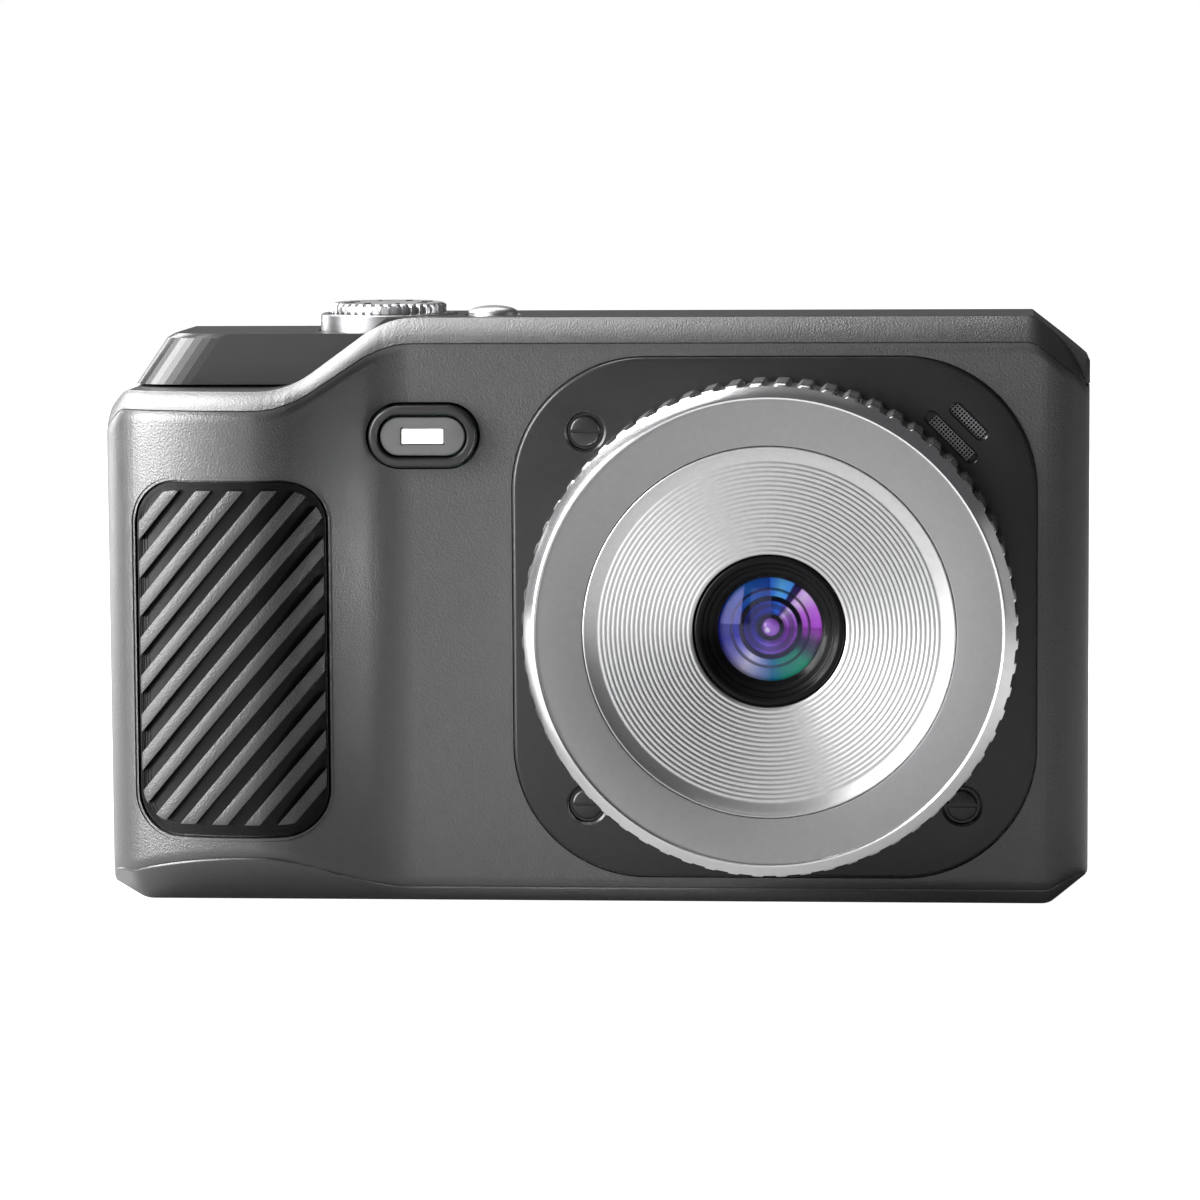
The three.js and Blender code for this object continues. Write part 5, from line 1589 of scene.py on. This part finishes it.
def key_profile(radius):
    """A round key: a crowned top over a flange that holds it behind the cover."""
    top, flange = KEY_TOP_Y, radius + FLANGE_REACH
    crown = [(0, top), (radius * 0.5, top - 0.03), (radius * 0.8, top - 0.09)]
    crown += [(radius - 0.22, top - 0.18), (radius - 0.07, top - 0.3), (radius, top - 0.5)]
    back, front = FLANGE_Y
    return crown + [(radius, front), (flange, front), (flange, back), (0, back)]


def keys():
    """Round keys, four quarter keys round the middle one, and the marks on them."""
    centres = dict(ROUND_KEYS, ok_key=(KEYS_X, KEYS_Z))
    for name, spot in centres.items():
        cap = lathe(f"{name}_cap", key_profile(KEY_R[name]), spot, segments=72)
        place(cap, name, "satin_shell", KEY, name)
    for turn, side in enumerate(("right", "up", "left", "down")):
        name = f"{side}_key"
        angle = turn * 90

        def quarter(outer, inner):
            def outline(inset):
                trim = 0.2 + inset
                far = math.degrees(trim / (outer - inset))
                near = math.degrees(trim / (inner + inset))
                start, end = angle - 45, angle + 45
                points = arc(KEYS_X, KEYS_Z, outer - inset, start + far, end - far, 20)
                return points + arc(KEYS_X, KEYS_Z, inner + inset, end - near, start + near, 14)

            return outline

        top = KEY_TOP_Y
        layers = soft_layers(top, FLANGE_Y[0], 0.4, 5)
        cap = prism(f"{name}_cap", quarter(RING_KEY_R, RING_KEY_BORE_R), layers)
        skirt = quarter(RING_KEY_R + FLANGE_REACH, RING_KEY_BORE_R)
        join(cap, prism("skirt", skirt, [(y, 0) for y in FLANGE_Y]))
        place(cap, name, "satin_shell", KEY, name)
        a = math.radians(angle)
        x, z = KEYS_X + 7.2 * math.cos(a), KEYS_Z + 7.2 * math.sin(a)
        size = 0.75
        points = [(x + size * math.cos(a + t), z + size * math.sin(a + t)) for t in (0, 2.2, -2.2)]
        mark = prism(f"{name}_mark", polygon(points), [(top - 0.2, 0), (MARK_Y, 0)])
        place(mark, name, "satin_shell", MARK)
    layers = [(MARK_Y - 0.3, 0), (MARK_Y, 0)]
    x, z = ROUND_KEYS["menu_key"]
    for i in (-1, 0, 1):
        line = slot_outline((x - 0.8, z + 0.62 * i), (x + 0.8, z + 0.62 * i), 0.26, 5)
        mark = prism(f"menu_mark_{i + 2}", line, layers)
        place(mark, "menu_key", "satin_shell", MARK)
    x, z = ROUND_KEYS["playback_key"]
    points = [(x - 1.0, z), (x + 0.6, z + 0.9), (x + 0.6, z - 0.9)]
    mark = prism("playback_mark", polygon(points), layers)
    place(mark, "playback_key", "satin_shell", MARK)
    rocker()


def rocker():
    """The zoom rocker: a long key with a dip across it and ridges at both ends."""
    x, z = ROCKER_SPOT
    top = KEY_Y - 0.2
    cap = prism("rocker_cap", pill(x, z, 13, 5), soft_layers(top, 15.9, 0.5, 5))
    dip = disc("dip", 14, (z - 10, z + 10), (x, top + 13.4), "Z", 160)
    cut(cap, dip)
    for side in (-1, 1):
        for i in range(3):
            at = x + side * (3.6 + 0.75 * i)
            ridge = slot_outline((at, z - 1.3), (at, z + 1.3), 0.3, 5)
            join(cap, prism("ridge", ridge, [(top - 0.4, 0), (top + 0.08, 0), (top + 0.14, 0.06)]))
    place(cap, "zoom_rocker", "satin_shell", KEY, "zoom_rocker")


def screen():
    """A gloss pane over a dark panel."""
    glass = satin("screen_glass", (0.004, 0.004, 0.005), 0.0, 0.05, Coat_Weight=1.0)
    low, high = SCREEN_LOW, SCREEN_HIGH
    pane = prism("screen_pane", screen_outline(0), soft_layers(high[1], low[1], 0.18))
    well = rounded_rect(-10.9, 46.9, 7.7, 51.3, 0.3, 4)
    cut(pane, prism("well", well, [(high[1] - 0.02, 0), (high[1] + 1, 0)]))
    place(pane, "root", "screen_glass", glass, "display_window", angle=40)
    panel = satin("screen_panel", (0.011, 0.012, 0.015), 0.0, 0.12, Coat_Weight=1.0)
    area = rounded_rect(-10.85, 46.85, 7.75, 51.25, 0.25, 4)
    picture = prism("screen_area", area, [(high[1] - 0.06, 0), (high[1] - 0.005, 0)])
    place(picture, "root", "screen_glass", panel)


camera()
room()
FRONT = (front_cover, grip_pad, lens_plate, control_ring, lens_bezel, lens_barrel, lens_glass, flash)
REST = (dial, shutter, rear_cover, top_cover, battery_door, port_cover, base_metal, keys, screen)
for make in FRONT + REST:
    make()

# The CAD pieces that nothing above stands for keep their shape and take a finish.
FINISHES = {
    "lens_mount": BLACK,
    "door_hinge_pin": STEEL,
    "card_socket": STEEL,
    "display_tray": STEEL,
    "battery_contacts": GOLD,
    "battery": CELL,
    "memory_card": CARD,
    "main_board": BOARD,
    "sensor_board": BOARD,
    "flash_board": BOARD,
}
for name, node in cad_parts.items():
    node.data.materials.clear()
    node.data.materials.append(FINISHES.get(name, BLACK))
